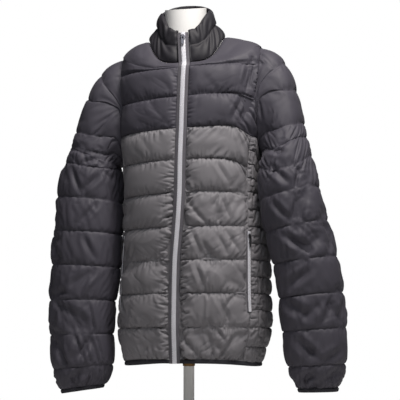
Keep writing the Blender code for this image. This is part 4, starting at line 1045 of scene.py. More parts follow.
def build_sleeve(side, name, table, quilt_lines, finish, creases):
    """A sleeve from the armhole to the cuff, settled as one tube, and its last row and normals."""
    last = CAP_CHANNELS + len(table) - 1
    lines, shares = channel_rows(np.arange(0.0, last + 1), CHANNEL_STEPS)
    stitched = list(range(0, len(lines), CHANNEL_STEPS))
    angles = np.linspace(0, 2 * np.pi, odd_count(SLEEVE_AROUND))
    edge, edge_normal = armhole_edge(side, angles)
    places = line_places(quilt_lines, lines, angles)
    surface = sleeve_base(table, places, side, angles, edge, edge_normal)
    around = np.gradient(surface, axis=1)
    around[:, 0] = around[:, -1] = (surface[:, 1] - surface[:, -2]) / 2
    normal = unit(np.cross(around, np.gradient(surface, axis=0))) * -side
    normal[0] = edge_normal
    free = held_points(normal.shape[:2], stitched, ())
    u = lengths_of(surface, 1)
    v = lengths_of(surface, 0)
    drift = LINE_DRIFT * rough(6 + 5 * np.cos(angles),
                               6 + 5 * np.sin(angles) + 3 * lines[:, None],
                               70 + side) * between_ends(len(lines))[:, None]
    lift = SLEEVE_LIFT * (np.clip(lines - LIFT_FROM, 0, 1) * np.clip(last - lines, 0, 1))[:, None]
    from_body = (np.degrees(angles) - NEAR_SIDE.turn * side + 180) % 360 - 180
    near_body = near(from_body, NEAR_SIDE.wide) * np.clip(
        NEAR_SIDE.long - np.abs(lines[:, None] - NEAR_SIDE.line), 0, 1)
    base = surface + normal * (drift + lift + NEAR_SIDE.fill * near_body)[..., None]
    base[stitched[1:-1]] -= SLEEVE_GROOVE * normal[stitched[1:-1]]
    widths = channel_widths(base, stitched)
    free = free * np.clip(widths / LEAST_CHANNEL - 1, 0, 1)
    left_over = 1 - lift / SLEEVE_STYLE.puff
    loft = loft_over(shares, widths, SLEEVE_STYLE.puff, 1.0) * left_over
    lumps = rough(4 + 3 * np.cos(angles), 4 + 3 * np.sin(angles) + 1.3 * lines[:, None], 72 + side)
    below_cap = np.clip((lines - CAP_FROM) / CAP_FADE, 0, 1)[:, None]
    loft = loft * (CAP_LOFT + (1 - CAP_LOFT) * below_cap)
    body_side = np.minimum(angles, 2 * np.pi - angles) < SLEEVE_BODY_SIDE
    loft = loft * (1 + LOFT_VARIES * np.where(body_side, -np.abs(lumps), lumps))
    along = varied(SLEEVE_STYLE.along, SPARE_VARIES, u / 0.03, v / 0.05, 74 + side)
    across = varied(SLEEVE_STYLE.across, SPARE_VARIES, u / 0.05, v / 0.03, 76 + side)
    along = along * (CAP_ALONG + (1 - CAP_ALONG) * below_cap) * left_over ** 2
    across = across * (CAP_ACROSS + (1 - CAP_ACROSS) * below_cap) * left_over ** 2
    across = across + SLEEVE_STYLE.hem_gather * near(v[-1:] - v, CUFF_REACH)
    along[:, -1] = along[:, 0]
    across[:, -1] = across[:, 0]
    x = settled(base, normal, free, loft, along, across, 78 + side, closed=True)
    calm = calm_share(widths)
    x = calmed(x, base, normal, free, loft, calm)
    pucker = SLEEVE_STYLE.pucker * (CAP_LOFT + (1 - CAP_LOFT) * below_cap) * (1 - calm)
    folds = SLEEVE_STYLE.folds * (CAP_ALONG + (1 - CAP_ALONG) * below_cap) * (1 - calm)
    seam = np.sin(angles / 2) ** 0.3
    x = wrinkled(x, normal, free * seam, u, v, row_gaps(base, shares, stitched),
                 Wrinkles(pucker, 0.0, folds), 90 + side)
    x = creased(x, normal, free, lambda ring, turn: section(table, side, ring, turn), creases)
    quilted(cloth_wall(f"sleeve_{name}_quilted", x, surface - normal * WALL, finish, around=True),
            f"sleeve_{name}")
    return surface[-1, :-1], normal[-1, :-1]


# ---- collar and elastic edges ----
COLLAR_STYLE = Style(0.0074, 0.110, 0.120, 0.00, 0.00, 0.0006, 0.0006)
COLLAR_CHANNEL = 0.042
COLLAR_FOLD = 0.07  # half-height of the fold at the collar's top, in ring numbers
COLLAR_INNER_PUFF, COLLAR_LEAST_LOFT = 0.0028, 0.0006
COLLAR_EDGE_LOFT, COLLAR_EDGE_WIDE = 0.3, 0.010  # as on a panel of the torso


def build_collar(finish):
    """Padded stand collar: one cloth up its outside, over the top edge and down its inside.

    The place runs from 0 at the neck seam to 2 at the top and on to 4 at the seam again. The cloth
    is stitched at both seams and through the quilted line, and free over the top."""
    count = 2 * round(COLLAR_CHANNEL / THREAD / 2)
    place = np.concatenate([np.linspace(0, 1, count, endpoint=False),
                            np.linspace(1, 3, 2 * count, endpoint=False),
                            np.linspace(3, 4, count + 1)])
    stitched = [0, count, 3 * count, 4 * count]
    shares = np.concatenate([np.arange(count) / count, np.arange(2 * count) / count / 2,
                             np.arange(count) / count, [0.0]])
    rings = 2 - np.sqrt((place - 2) ** 2 + COLLAR_FOLD ** 2) + COLLAR_FOLD * (
        np.abs(place - 2) / 2) ** 0.5
    rings = np.clip(rings, 0, 2 - COLLAR_FOLD / 2)
    depth = WALL * np.clip((place - 2) / (2 * COLLAR_FOLD) + 0.5, 0, 1)
    start = front_turn(rings, ZIP_HALF, COLLAR, 0.0)
    share = even_shares(collar_surface, 1.0, float(start[0]), 2 * math.pi - float(start[0]),
                        odd_count(COLLAR_AROUND))
    turns = start[:, None] + (2 * math.pi - 2 * start)[:, None] * share
    grid = np.broadcast_to(rings[:, None], turns.shape)
    level = outward(collar_surface, np.clip(grid, 0.1, 1.9), turns)
    surface = collar_surface(grid, turns) - level * depth[:, None, None]
    surface[[0, -1]] += (0, 0, COLLAR_LIFT)
    normal = unit(np.cross(np.gradient(surface, axis=1), np.gradient(surface, axis=0)))
    free = held_points(turns.shape, stitched)
    u = lengths_of(surface, 1)
    v = lengths_of(surface, 0)
    to_edge = np.minimum(u, u[:, -1:] - u)
    flat = (COLLAR_EDGE_LOFT
            + (1 - COLLAR_EDGE_LOFT) * np.clip(to_edge / COLLAR_EDGE_WIDE, 0, 1) ** 0.5)
    inside = np.clip(place - 1.9, 0, 0.2)[:, None] / 0.2
    puff = COLLAR_STYLE.puff * (1 - inside) + COLLAR_INNER_PUFF * inside
    rise = np.sin(np.pi * np.clip(shares, 0.02, 0.98)) ** 0.4
    loft = np.maximum(puff * rise[:, None] * flat, COLLAR_LEAST_LOFT)
    loft = varied(loft, 0.12, u / 0.04, v / 0.05, 81)
    along = np.full(turns.shape, COLLAR_STYLE.along)
    across = varied(COLLAR_STYLE.across, SPARE_VARIES, u / 0.04, v / 0.03, 82)
    x = settled(surface, normal, free, loft, along, across, 83)
    for _ in range(3):
        x = x + 0.5 * inner_mean(x) * free[..., None]
    quilted(open_cloth("collar_quilted", x, finish), "collar")


def open_cloth(name, points, finish):
    """A folded cloth closed at both ends and along its foot, where its two edges meet."""
    rows, columns = points.shape[:2]
    at = np.arange(rows * columns).reshape(rows, columns)
    quads = [grid_quads(rows, columns)]
    quads.append(np.stack([at[-1, :-1], at[-1, 1:], at[0, 1:], at[0, :-1]], -1))
    half = rows // 2
    for edge, flip in ((at[:, 0], False), (at[:, -1], True)):
        up, down = edge[:half + 1], edge[::-1][:half + 1]
        ends = np.stack([up[:-2], up[1:-1], down[1:-1], down[:-2]], -1)
        top = np.stack([up[-2], up[-1], down[-2]])[None]
        quads.append(ends if flip else ends[:, ::-1])
        quads.append(top if flip else top[:, ::-1])
    return closed_mesh(name, points.reshape(-1, 3), quads, finish, CLOTH_SMOOTH)


RIB_PITCH = 0.0026  # one gathered rib of the elastic edges
RIB_DEPTH = 0.00045
RIB_ROUGHNESS = 0.0005
BAND_SHIFT, BAND_THICKER = 0.0003, 0.0012  # how the band stands over the cloth's edge
HEM_POINTS, CUFF_POINTS = 700, 280


def elastic_profile():
    """Section of an elastic edge, out from the cloth and down: a folded band with soft corners."""
    turn = full_turn(20)
    across, drop = rounded(turn, 3.0)
    out = -WALL / 2 + BAND_SHIFT + across * (WALL / 2 + BAND_THICKER)
    down = HEM_BAND / 2 + drop * (HEM_BAND / 2 - SEAM)
    return out, down


def elastic_band(node, ring, normal, down, closed, finish):
    """Elastic edge swept along a row of points, ribbed across where the cloth gathers."""
    length = run_along(ring)
    rib = RIB_DEPTH * np.cos(2 * np.pi * length / RIB_PITCH)
    rib = rib + RIB_ROUGHNESS * rough(length / 0.012, 0.5, 91)
    out, drop = elastic_profile()
    offset = out[None, :] + rib[:, None] * (out > -WALL / 2)[None, :]
    sections = (ring[:, None] + normal[:, None] * offset[..., None]
                + down[:, None] * drop[None, :, None])
    piece = swept(f"{node}_elastic", sections, finish, closed)
    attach(piece, "jacket")
    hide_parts(node)


def finer_loop(points, count):
    """A closed row of points or normals at a finer, even count of places."""
    loop = np.concatenate([points, points[:1]])
    place = np.linspace(0, len(loop) - 1, count, endpoint=False)
    return blended(np.concatenate([loop[-3:-1], loop, loop[1:3]]), place + 2)


def build_hem(finish):
    """Elastic along the hem, from one side of the centre zip round to the other."""
    first = float(front_turn(HEM, ZIP_HALF, TORSO, HEM))
    turns = np.linspace(first, 2 * math.pi - first, HEM_POINTS)
    ring = torso(HEM, turns)
    normal = unit(outward(torso, HEM + 0.05, turns) * (1, 1, 0))
    down = np.tile([0.0, 0.0, -1.0], (len(turns), 1))
    elastic_band("hem", ring, normal, down, False, finish)


def build_cuff(name, ring, normal, finish):
    """Elastic round the end of a sleeve, given its last row of points and normals."""
    ring = finer_loop(ring, CUFF_POINTS)
    normal = unit(finer_loop(normal, CUFF_POINTS))
    down = np.array([0.0, 0.0, -1.0]) + normal * normal[:, 2:3]
    elastic_band(f"cuff_{name}", ring, normal, unit(down), True, finish)


# ---- zips ----
def centre_line():
    """Points up the centre front to the collar's top: place, right, up and normal of each."""
    body = np.concatenate([[HEM], np.arange(HEM, 2.1, 0.5), [3.0, 4.2]])
    stand = np.array([0.0, 0.25, 0.5, 1.0, ZIP_SLIDER_AT, ZIP_TOP])
    beside = 2 * SMALL_STEP
    middles = []
    rights = []
    for surface, rings in ((torso, body), (collar_surface, stand)):
        middles.append((surface(rings, beside) + surface(rings, -beside)) / 2)
        rights.append(surface(rings, 0.1) - surface(rings, -0.1))
    points = np.concatenate(middles)
    points[0] -= (0, 0, HEM_BAND)
    return line_frames(points, unit(np.concatenate(rights) * (1, 1, 0)))


def line_frames(points, right):
    """Directions along a line of points: its own way up, its given right, and their normal."""
    up = unit(np.gradient(points, axis=0))
    normal = unit(np.cross(right, up))
    return points, right, up, normal


def pocket_line(side):
    """The same for a pocket zip, up the side seam."""
    rings = np.concatenate([[POCKET_BOTTOM], np.arange(-5.5, -3.4, 0.25),
                            [POCKET_SLIDER_AT, POCKET_TOP]])
    turn = side * SIDE_SEAM
    points = torso(rings, turn)
    normal = outward(torso, rings, turn)
    up = unit(np.gradient(points, axis=0))
    right = unit(np.cross(up, normal))
    return points, right, up, unit(np.cross(right, up))


def finer_line(line, count, samples=400):
    """A line's points and directions at even distances along it."""
    points, _, _, normal = line
    length = run_along(points)
    places = np.interp(np.linspace(0, length[-1], samples), length, np.arange(len(points)))
    run = run_along(blended(points, places))
    places = np.interp(np.linspace(0, run[-1], count), run, places)
    fine = blended(points, places)
    out = blended(normal, places)
    ahead = unit(np.gradient(fine, axis=0))
    out = unit(out - ahead * np.sum(out * ahead, axis=1, keepdims=True))
    return fine, unit(np.cross(ahead, out)), ahead, out


def strip(name, line, profile, finish, smooth_angle=40):
    """A closed profile, as (right, out) pairs, carried along a line."""
    points, right, _, normal = line
    profile = np.array(profile)
    sections = (points[:, None] + right[:, None] * profile[None, :, :1]
                + normal[:, None] * profile[None, :, 1:])
    return swept(name, sections, finish, smooth_angle=smooth_angle)


COIL_PITCH, POCKET_COIL_PITCH = 0.0017, 0.0015
TOOTH_SHARE = 0.62  # a tooth's height as a share of the pitch
TOOTH_ASIDE = 0.16  # how far it stands aside, as a share of its width
LINE_POINTS, POCKET_LINE_POINTS = 420, 140
HALF_GAP = 0.0002  # half the space between the two tapes


def tooth_shape(width, rise, height):
    """One coil tooth: a low bar with a rounded top, its corners as (right, up, out)."""
    angle = np.linspace(0, np.pi, 5)
    up = np.cos(angle) * height / 2
    out = np.sin(angle) * rise
    corners = [np.stack([np.full(5, x), up, out], 1) for x in (-width / 2, width / 2)]
    ends = np.concatenate(corners)
    faces = [np.array([[k, k + 1, k + 6, k + 5] for k in range(4)]),
             np.array([[0, 5, 9, 4]]),
             np.array([[0, 4, 3], [0, 3, 2], [0, 2, 1], [5, 8, 9], [5, 7, 8], [5, 6, 7]])]
    return ends, faces


def teeth(name, line, pitch, width, rise, base, finish):
    """Coil teeth by turns left and right of a line, as one piece of many small closed bars."""
    count = int(line_length(line) / pitch)
    points, right, up, normal = finer_line(line, count + 2)
    points, right, up, normal = (field[1:-1] for field in (points, right, up, normal))
    shape, faces = tooth_shape(width, rise, pitch * TOOTH_SHARE)
    side = np.where(np.arange(count) % 2, 1, -1) * width * TOOTH_ASIDE
    middles = points + right * side[:, None] + normal * base
    placed = (middles[:, None] + right[:, None] * shape[None, :, :1]
              + up[:, None] * shape[None, :, 1:2] + normal[:, None] * shape[None, :, 2:])
    starts = (np.arange(count) * len(shape))[:, None, None]
    groups = [(group[None] + starts).reshape(-1, group.shape[1]) for group in faces]
    return closed_mesh(name, placed.reshape(-1, 3), groups, finish, 50)


def line_length(line):
    """Length of a line given as points and directions."""
    return float(np.linalg.norm(np.diff(line[0], axis=0), axis=1).sum())


def build_zips(tape, coil):
    """Tapes and coil of the centre zip, and the two pocket zips."""
    line = finer_line(centre_line(), LINE_POINTS)
    half = ZIP_TAPE_THICK / 2
    for side, name in ((1, "left"), (-1, "right")):
        inner, outer = HALF_GAP, ZIP_HALF - 2 * HALF_GAP
        coil_edge = COIL_WIDTH / 2 - HALF_GAP
        profile = [(side * x, y) for x, y in
                   ((inner, half + 0.0004), (coil_edge, half + 0.0004), (coil_edge + 0.0008, half),
                    (outer - 0.0005, half), (outer, half - 0.0004), (outer, -half + 0.0004),
                    (outer - 0.0005, -half), (inner, -half))]
        piece = strip(f"zip_tape_{name}_woven", line, profile, tape)
        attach(piece, "jacket")
        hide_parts(f"zip_tape_{name}")
    low = half + 0.0002
    arch = np.linspace(np.pi, 0, 11)
    profile = np.column_stack([COIL_WIDTH / 2 * np.cos(arch), low + 0.0012 * np.sin(arch) ** 0.7])
    piece = strip("zip_core", line, profile, coil, 60)
    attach(piece, "jacket")
    row = teeth("zip_coil", line, COIL_PITCH, COIL_WIDTH - 0.0024, COIL_RISE - 0.0008,
                low + 0.0006, coil)
    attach(row, "jacket")
    for side, name in ((1, "left"), (-1, "right")):
        line = finer_line(pocket_line(side), POCKET_LINE_POINTS)
        top = POCKET_STRIP_LIFT + POCKET_STRIP_THICK
        low = POCKET_STRIP_LIFT - 0.0004
        edge = POCKET_ZIP_HALF - 0.0003
        core = POCKET_COIL_HALF
        profile = ((-edge, low), (-edge, top - 0.0003), (-edge + 0.0005, top), (-core, top),
                   (-core + 0.0005, top + 0.0004), (core - 0.0005, top + 0.0004), (core, top),
                   (edge - 0.0005, top), (edge, top - 0.0003), (edge, low))
        piece = strip(f"pocket_zip_{name}_woven", line, profile, tape)
        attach(piece, "jacket")
        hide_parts(f"pocket_zip_{name}")
        core = POCKET_COIL_HALF + 0.0004
        profile = ((-core, top - 0.0002), (-core, top + 0.0002), (-core + 0.0005, top + 0.0007),
                   (core - 0.0005, top + 0.0007), (core, top + 0.0002), (core, top - 0.0002))
        piece = strip(f"pocket_core_{name}", line, profile, coil)
        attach(piece, "jacket")
        row = teeth(f"pocket_coil_{name}", line, POCKET_COIL_PITCH,
                    2 * POCKET_COIL_HALF - 0.0006, POCKET_COIL_RISE - 0.0007, top + 0.0005, coil)
        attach(row, "jacket")


SliderSize = namedtuple("SliderSize", "width length plate crown")
SLIDER = SliderSize(0.0105, 0.0125, 0.0016, 0.0013)
POCKET_SLIDER = SliderSize(0.0072, 0.0092, 0.0013, 0.0013)
PullSize = namedtuple("PullSize", "width length")
PULL = PullSize(0.0062, 0.0185)
POCKET_PULL = PullSize(0.0054, 0.0225)
PULL_BAR = 0.0012  # thickness of a pull tab
BRIDGE_HALF = 0.0010
BRIDGE_SPAN = 0.46  # length of the bridge as a share of its slider's
PLATE_BEVEL = 0.0004
RIDGE_DEPTH, RIDGE_PITCH = 0.00022, 0.0021  # of a moulded tab


def outline_points(width, length, count, taper, squareness=3.2):
    """Closed outline as (across, along): a squared ellipse, narrower towards its foot."""
    turn = full_turn(count)
    across, along = rounded(turn, squareness)
    narrow = 1 - taper * (0.5 - 0.5 * along) ** 1.5
    return np.stack([across * narrow * width / 2, along * length / 2], -1)


def bevelled(outline, low, high, bevel):
    """Sections of a plate: its outline drawn in by the bevel at both faces, and its middle."""
    heights = [low, low, low + 0.3 * bevel, low + bevel, high - bevel, high - 0.3 * bevel, high,
               high]
    insets = [0.5, 1.0, 0.3, 0.0, 0.0, 0.3, 1.0, 0.5]
    reach = np.linalg.norm(outline, axis=1, keepdims=True)
    sections = []
    for k, (height, inset) in enumerate(zip(heights, insets)):
        at_end = k in (0, len(heights) - 1)
        flat = outline * 0.5 if at_end else outline * (1 - inset * bevel / reach)
        sections.append(np.column_stack([flat, np.full(len(flat), height)]))
    return np.array(sections)


def in_frame(local, centre, axes):
    """Points given as distances along three axes from a centre."""
    return centre + local @ axes


def build_slider(node, centre, axes, sizes, floor, finish):
    """Zip slider: a bevelled plate and an arched bridge whose feet stand in the plate."""
    top = floor + sizes.plate
    outline = outline_points(sizes.width, sizes.length, 40, 0.22)
    plate = bevelled(outline, floor, top, PLATE_BEVEL)
    points = [in_frame(plate, centre, axes)]
    faces = solid_faces(points[0].shape, 0)
    crown = top + SLIDER_EYE + sizes.crown / 2
    half = BRIDGE_SPAN * sizes.length / 2
    arch = np.linspace(0, np.pi, 21)
    path = np.column_stack([np.zeros(len(arch)), half * 1.12 * np.cos(arch),
                            top - 0.0003 + (crown - top) * np.sin(arch) ** 0.55])
    ahead = unit(np.gradient(path, axis=0))
    out = np.cross(np.tile([1.0, 0, 0], (len(arch), 1)), ahead)
    turn = full_turn(14)
    across, rise = rounded(turn, 3.0)
    rail = (path[:, None] + across[None, :, None] * np.array([BRIDGE_HALF - 0.0001, 0, 0])
            + out[:, None] * (rise * sizes.crown / 2 * 0.92)[None, :, None])
    points.append(in_frame(rail, centre, axes))
    faces += solid_faces(rail.shape, points[0].shape[0] * points[0].shape[1])
    flat = np.concatenate([p.reshape(-1, 3) for p in points])
    piece = closed_mesh(f"{node}_cast", flat, faces, finish, 35)
    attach(piece, "jacket")
    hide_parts(node)


def solid_faces(shape, start):
    """Faces of a solid whose sections are rings of points, with both ends closed by one face."""
    count, sides = shape[:2]
    first = np.arange(sides)[None, ::-1] + start
    last = np.arange(sides)[None] + start + (count - 1) * sides
    return [grid_quads(count, sides, start, True), first, last]


def build_pull(node, centre, axes, sizes, slider_length, pivot, ridges, finish):
    """Pull tab: a bevelled plate round a window for the bridge, with cross ridges if moulded.

    Its surface is a profile over the plate's edge carried round the window."""
    turn = full_turn(72)
    bar = PULL_BAR / 2
    window_top, window_end = -bar, -0.33 * slider_length - 0.0009
    window_half = BRIDGE_HALF + 0.0005
    across, along = rounded(turn, 5.0)
    window = np.stack([across * window_half, (window_top + window_end) / 2
                       + along * (window_top - window_end) / 2], -1)
    middle = (bar - sizes.length) / 2
    across, along = rounded(turn, 3.6)
    narrow = 1 - 0.18 * (0.5 - 0.5 * along) ** 2
    rim = np.stack([across * narrow * sizes.width / 2,
                    middle + along * (bar + sizes.length) / 2], -1)
    share = np.array([0, 0, .06, .2, .35, .5, .65, .8, .92, .97, 1.0])
    height = np.array([0, .7, 1, 1, 1, 1, 1, 1, 1, .75, 0])
    share = np.concatenate([share, share[-2:0:-1]])
    height = np.concatenate([height, -height[-2:0:-1]]) * bar
    flat = window[:, None] + (rim - window)[:, None] * share[None, :, None]
    ridge = ridges * RIDGE_DEPTH * np.cos(2 * np.pi * flat[..., 1] / RIDGE_PITCH)
    ridge = ridge * (flat[..., 1] < window_end - 0.002) * (np.abs(height) >= 0.99 * bar)
    rise = height[None, :] + (ridge - abs(ridges) * RIDGE_DEPTH) * np.sign(height)[None, :]
    local = np.concatenate([flat, rise[..., None]], -1) + (0, 0, pivot)
    piece = swept(f"{node}_tab", in_frame(local, centre, axes), finish, True, 40)
    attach(piece, node)
    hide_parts(node)


def build_hardware(metal, moulded):
    """Sliders near the top of each zip and their pull tabs, each on its own body."""
    top = ZIP_TAPE_THICK / 2 + COIL_RISE
    pocket_top = POCKET_STRIP_LIFT + POCKET_STRIP_THICK + POCKET_COIL_RISE
    zips = [("zip_slider", "zip_pull", centre_line(), SLIDER, PULL, top, metal, 0)]
    zips += [(f"pocket_slider_{name}", f"pocket_pull_{name}", pocket_line(side), POCKET_SLIDER,
              POCKET_PULL, pocket_top, moulded, 1)
             for side, name in ((1, "left"), (-1, "right"))]
    for node, pull, line, sizes, pull_sizes, coil_top, finish, ridges in zips:
        centre, right, _, normal = (field[-2] for field in line)
        axes = np.array([right, np.cross(normal, right), normal])
        floor = coil_top + SEAM
        build_slider(node, centre, axes, sizes, floor, finish)
        pivot = floor + sizes.plate + SLIDER_EYE / 2
        build_pull(pull, centre, axes, pull_sizes, sizes.length, pivot, ridges, finish)


# ---- dress form and stand ----
FORM_AROUND, FORM_ROWS = 160, 130  # points round the form and rows up it
FORM_FOOT = 0.90  # size of its closed end, as a share of its lowest ring


def build_form(finish):
    """Limbless dress form just inside the jacket, closed below, its neck cut flat on a slope."""
    turns = full_turn(FORM_AROUND)
    rings = []
    for ring, inset, drop in FORM:
        points = torso(ring, turns)
        sideways = unit((points - points.mean(axis=0)) * (1, 1, 0))
        rings.append(points - inset * sideways - np.array([0, 0, drop]))
    base = rings[0]
    bottom = base * (FORM_FOOT, FORM_FOOT, 1.0)
    bottom[:, 2] = FORM_BOTTOM
    middle = np.array([FORM_NECK.middle_x, FORM_NECK.middle_y])
    around = np.stack([np.sin(turns), -np.cos(turns)], -1)
    slope = math.tan(math.radians(FORM_NECK.tilt))
    shoulder = rings[-1][:, 2]
    for rise, wide in ((0.25, 1.12), (0.5, 1.02), (1.0, 1.0)):
        across = middle + around * FORM_NECK.radius * wide
        top = FORM_NECK.top_middle + slope * (across[:, 1] - middle[1])
        rings.append(np.column_stack([across, shoulder + (top - shoulder) * rise]))
    table = np.array([bottom] + rings).reshape(len(rings) + 1, -1)
    low = np.linspace(0, 1, 5)[:-1]
    places = np.concatenate([low, np.linspace(1, len(rings), FORM_ROWS)])
    body = blended(table, places).reshape(len(places), -1, 3)
    body[:len(low)] = bottom + (base - bottom) * low[:, None, None]
    sections = np.concatenate([[inset_ring(body[0], 0.882)], body, [inset_ring(body[-1], 0.965)]])
    piece = swept("form_torso_covered", sections, finish, smooth_angle=50)
    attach(piece, "jacket")
    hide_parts("form_torso")


def inset_ring(ring, share):
    """A ring drawn in towards its mean to the given share of its size."""
    middle = ring.mean(axis=0)
    return middle + (ring - middle) * share


def turned(name, node, profile, finish, sides=96):
    """Solid of revolution about the stand's axis from (radius, height) pairs."""
    turn = full_turn(sides)
    profile = np.array(profile)
    sections = np.stack([profile[:, :1] * np.cos(turn), profile[:, :1] * np.sin(turn),
                         np.repeat(profile[:, 1:], sides, axis=1)], -1)
    piece = swept(name, sections, finish, smooth_angle=35)
    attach(piece, "jacket")
    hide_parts(node)


def build_stand(white, bronze, steel):
    """Ferrule with a groove near its foot, tube below it and a flat round plate on the floor."""
    top = FORM_BOTTOM - SEAM
    low = FERRULE_BOTTOM
    ferrule = [(FERRULE_RADIUS - 0.0010, low), (FERRULE_RADIUS - 0.0003, low + 0.0003),
               (FERRULE_RADIUS, low + 0.0010), (FERRULE_RADIUS, low + 0.0060),
               (FERRULE_RADIUS - 0.0008, low + 0.0068), (FERRULE_RADIUS - 0.0008, low + 0.0076),
               (FERRULE_RADIUS, low + 0.0084), (FERRULE_RADIUS, top)]
    turned("form_ferrule_turned", "form_ferrule", ferrule, bronze)
    turned("form_pole_tube", "form_pole",
           [(POLE_RADIUS - 0.0004, FOOT_THICK + SEAM), (POLE_RADIUS, FOOT_THICK + SEAM + 0.0004),
            (POLE_RADIUS, low - SEAM - 0.0004), (POLE_RADIUS - 0.0004, low - SEAM)], white)
    turned("form_foot_plate", "form_foot",
           [(FOOT_RADIUS - 0.0010, 0.0), (FOOT_RADIUS, 0.0010), (FOOT_RADIUS, 0.0080),
            (FOOT_RADIUS - 0.0005, 0.0098), (FOOT_RADIUS - 0.0018, 0.0113),
            (FOOT_RADIUS - 0.0040, FOOT_THICK)], steel, 192)


# ---- finishes ----
def linear(colour):
    """Linear values of an sRGB hex colour such as 4A4748."""
    values = [int(colour[k:k + 2], 16) / 255 for k in (0, 2, 4)]
    return tuple(v / 12.92 if v <= 0.04045 else ((v + 0.055) / 1.055) ** 2.4
                 for v in values) + (1.0,)


def set_node(tree, node, **settings):
    """Sets a node's properties or, with spaces as _, its sockets, to values or links."""
    for key, value in settings.items():
        socket = node.inputs.get(key.replace("_", " "))
        if socket is None:
            setattr(node, key, value)
        elif isinstance(value, bpy.types.NodeSocket):
            tree.links.new(value, socket)
        else:
            socket.default_value = value
    return node


def add_node(tree, kind, at, **settings):
    """Adds a node with its settings and links."""
    made = tree.nodes.new(kind)
    made.location = at
    return set_node(tree, made, **settings)


def new_material(name):
    """A cleared material with a shader: itself, its node tree, the shader and object places."""
    material = bpy.data.materials.get(name)
    if material:
        bpy.data.materials.remove(material)
    material = bpy.data.materials.new(name)
    material.use_nodes = True
    tree = material.node_tree
    tree.nodes.clear()
    shader = add_node(tree, "ShaderNodeBsdfPrincipled", (300, 0))
    add_node(tree, "ShaderNodeOutputMaterial", (600, 0), Surface=shader.outputs["BSDF"])
    place = add_node(tree, "ShaderNodeTexCoord", (-900, 0)).outputs["Object"]
    return material, tree, shader, place


def shaded(colour, share):
    """A colour made darker or lighter by a share."""
    return tuple(min(1.0, value * share) for value in colour[:3]) + (1.0,)


def varied_colour(tree, shader, at, factor, colour, spread):
    """Lets a shader's colour vary by a share darker and lighter with a texture's factor."""
    made = tree.nodes.new("ShaderNodeMix")
    made.data_type = "RGBA"
    made.location = at
    tree.links.new(factor, made.inputs["Factor"])
    made.inputs["A"].default_value = shaded(colour, 1 - spread)
    made.inputs["B"].default_value = shaded(colour, 1 + spread)
    tree.links.new(made.outputs["Result"], shader.inputs["Base Color"])


def nylon_finish(name, colour, roughness):
    """Fine calendered nylon over down: soft crinkles, a faint weave and a dull sheen.

    Its shade varies in patches of 70 mm and its crinkles are 20 mm apart. Its threads are finer
    than shows, so they are drawn at 0.4 mm."""
    material, tree, shader, place = new_material(name)
    cloud = add_node(tree, "ShaderNodeTexNoise", (-650, 200), Vector=place, Scale=14.0,
                     Detail=2.0)
    varied_colour(tree, shader, (-350, 200), cloud.outputs["Fac"], colour, 0.10)
    crinkle = add_node(tree, "ShaderNodeTexNoise", (-650, -100), Vector=place, Scale=48.0,
                       noise_type="RIDGED_MULTIFRACTAL", Detail=3.0, Roughness=0.5)
    weave = add_node(tree, "ShaderNodeTexNoise", (-650, -350), Vector=place, Scale=2600.0,
                     Detail=1.0)
    soft = add_node(tree, "ShaderNodeBump", (-350, -100), Height=crinkle.outputs["Fac"],
                    Strength=0.5, Distance=0.0008)
    fine = add_node(tree, "ShaderNodeBump", (-100, -200), Height=weave.outputs["Fac"],
                    Normal=soft.outputs["Normal"], Strength=0.25, Distance=0.0001)
    set_node(tree, shader, Normal=fine.outputs["Normal"], Roughness=roughness,
             Specular_IOR_Level=0.32, Sheen_Weight=0.05, Sheen_Roughness=0.35)
    return material


def woven_finish(name, colour, pitch):
    """Plain woven tape or elastic: fine cross ribs at their real pitch, and no shine.

    Its shade varies in patches of 17 mm."""
    material, tree, shader, place = new_material(name)
    grain = add_node(tree, "ShaderNodeTexNoise", (-650, 200), Vector=place, Scale=60.0)
    varied_colour(tree, shader, (-350, 200), grain.outputs["Fac"], colour, 0.2)
    rib = add_node(tree, "ShaderNodeTexWave", (-650, -100), Vector=place, Scale=0.31 / pitch,
                   Distortion=0.6, bands_direction="Z")
    lift = add_node(tree, "ShaderNodeBump", (-350, -100), Height=rib.outputs["Fac"],
                    Strength=0.35, Distance=0.0002)
    set_node(tree, shader, Normal=lift.outputs["Normal"], Roughness=0.88,
             Specular_IOR_Level=0.25)
    return material


# A fine even grain: cells in a metre, detail, how far it varies the colour, and its relief.
Grain = namedtuple("Grain", "scale detail spread strength")
METAL_GRAIN = Grain(400.0, 3.0, 0.10, 0.15)  # 2.5 mm of cast, drawn or moulded skin
COVER_GRAIN = Grain(900.0, 2.0, 0.015, 0.12)  # 1.1 mm, coarser than its knit so that it shows
FLOOR_GRAIN = Grain(40.0, 2.0, 0.015, 0.12)  # 25 mm of matt paint


def grained_finish(name, colour, roughness, grain, metallic=0.0):
    """Metal with faint wear, or a moulded, painted or coated surface where it isn't metallic."""
    material, tree, shader, place = new_material(name)
    noise = add_node(tree, "ShaderNodeTexNoise", (-650, 0), Vector=place, Scale=grain.scale,
                     Detail=grain.detail)
    varied_colour(tree, shader, (-350, 100), noise.outputs["Fac"], colour, grain.spread)
    relief = add_node(tree, "ShaderNodeBump", (-350, -150), Height=noise.outputs["Fac"],
                      Strength=grain.strength, Distance=0.0001)
    set_node(tree, shader, Normal=relief.outputs["Normal"], Metallic=metallic,
             Roughness=roughness)
    return material


DARK_NYLON = linear("4A4851")
GREY_NYLON = linear("807E82")


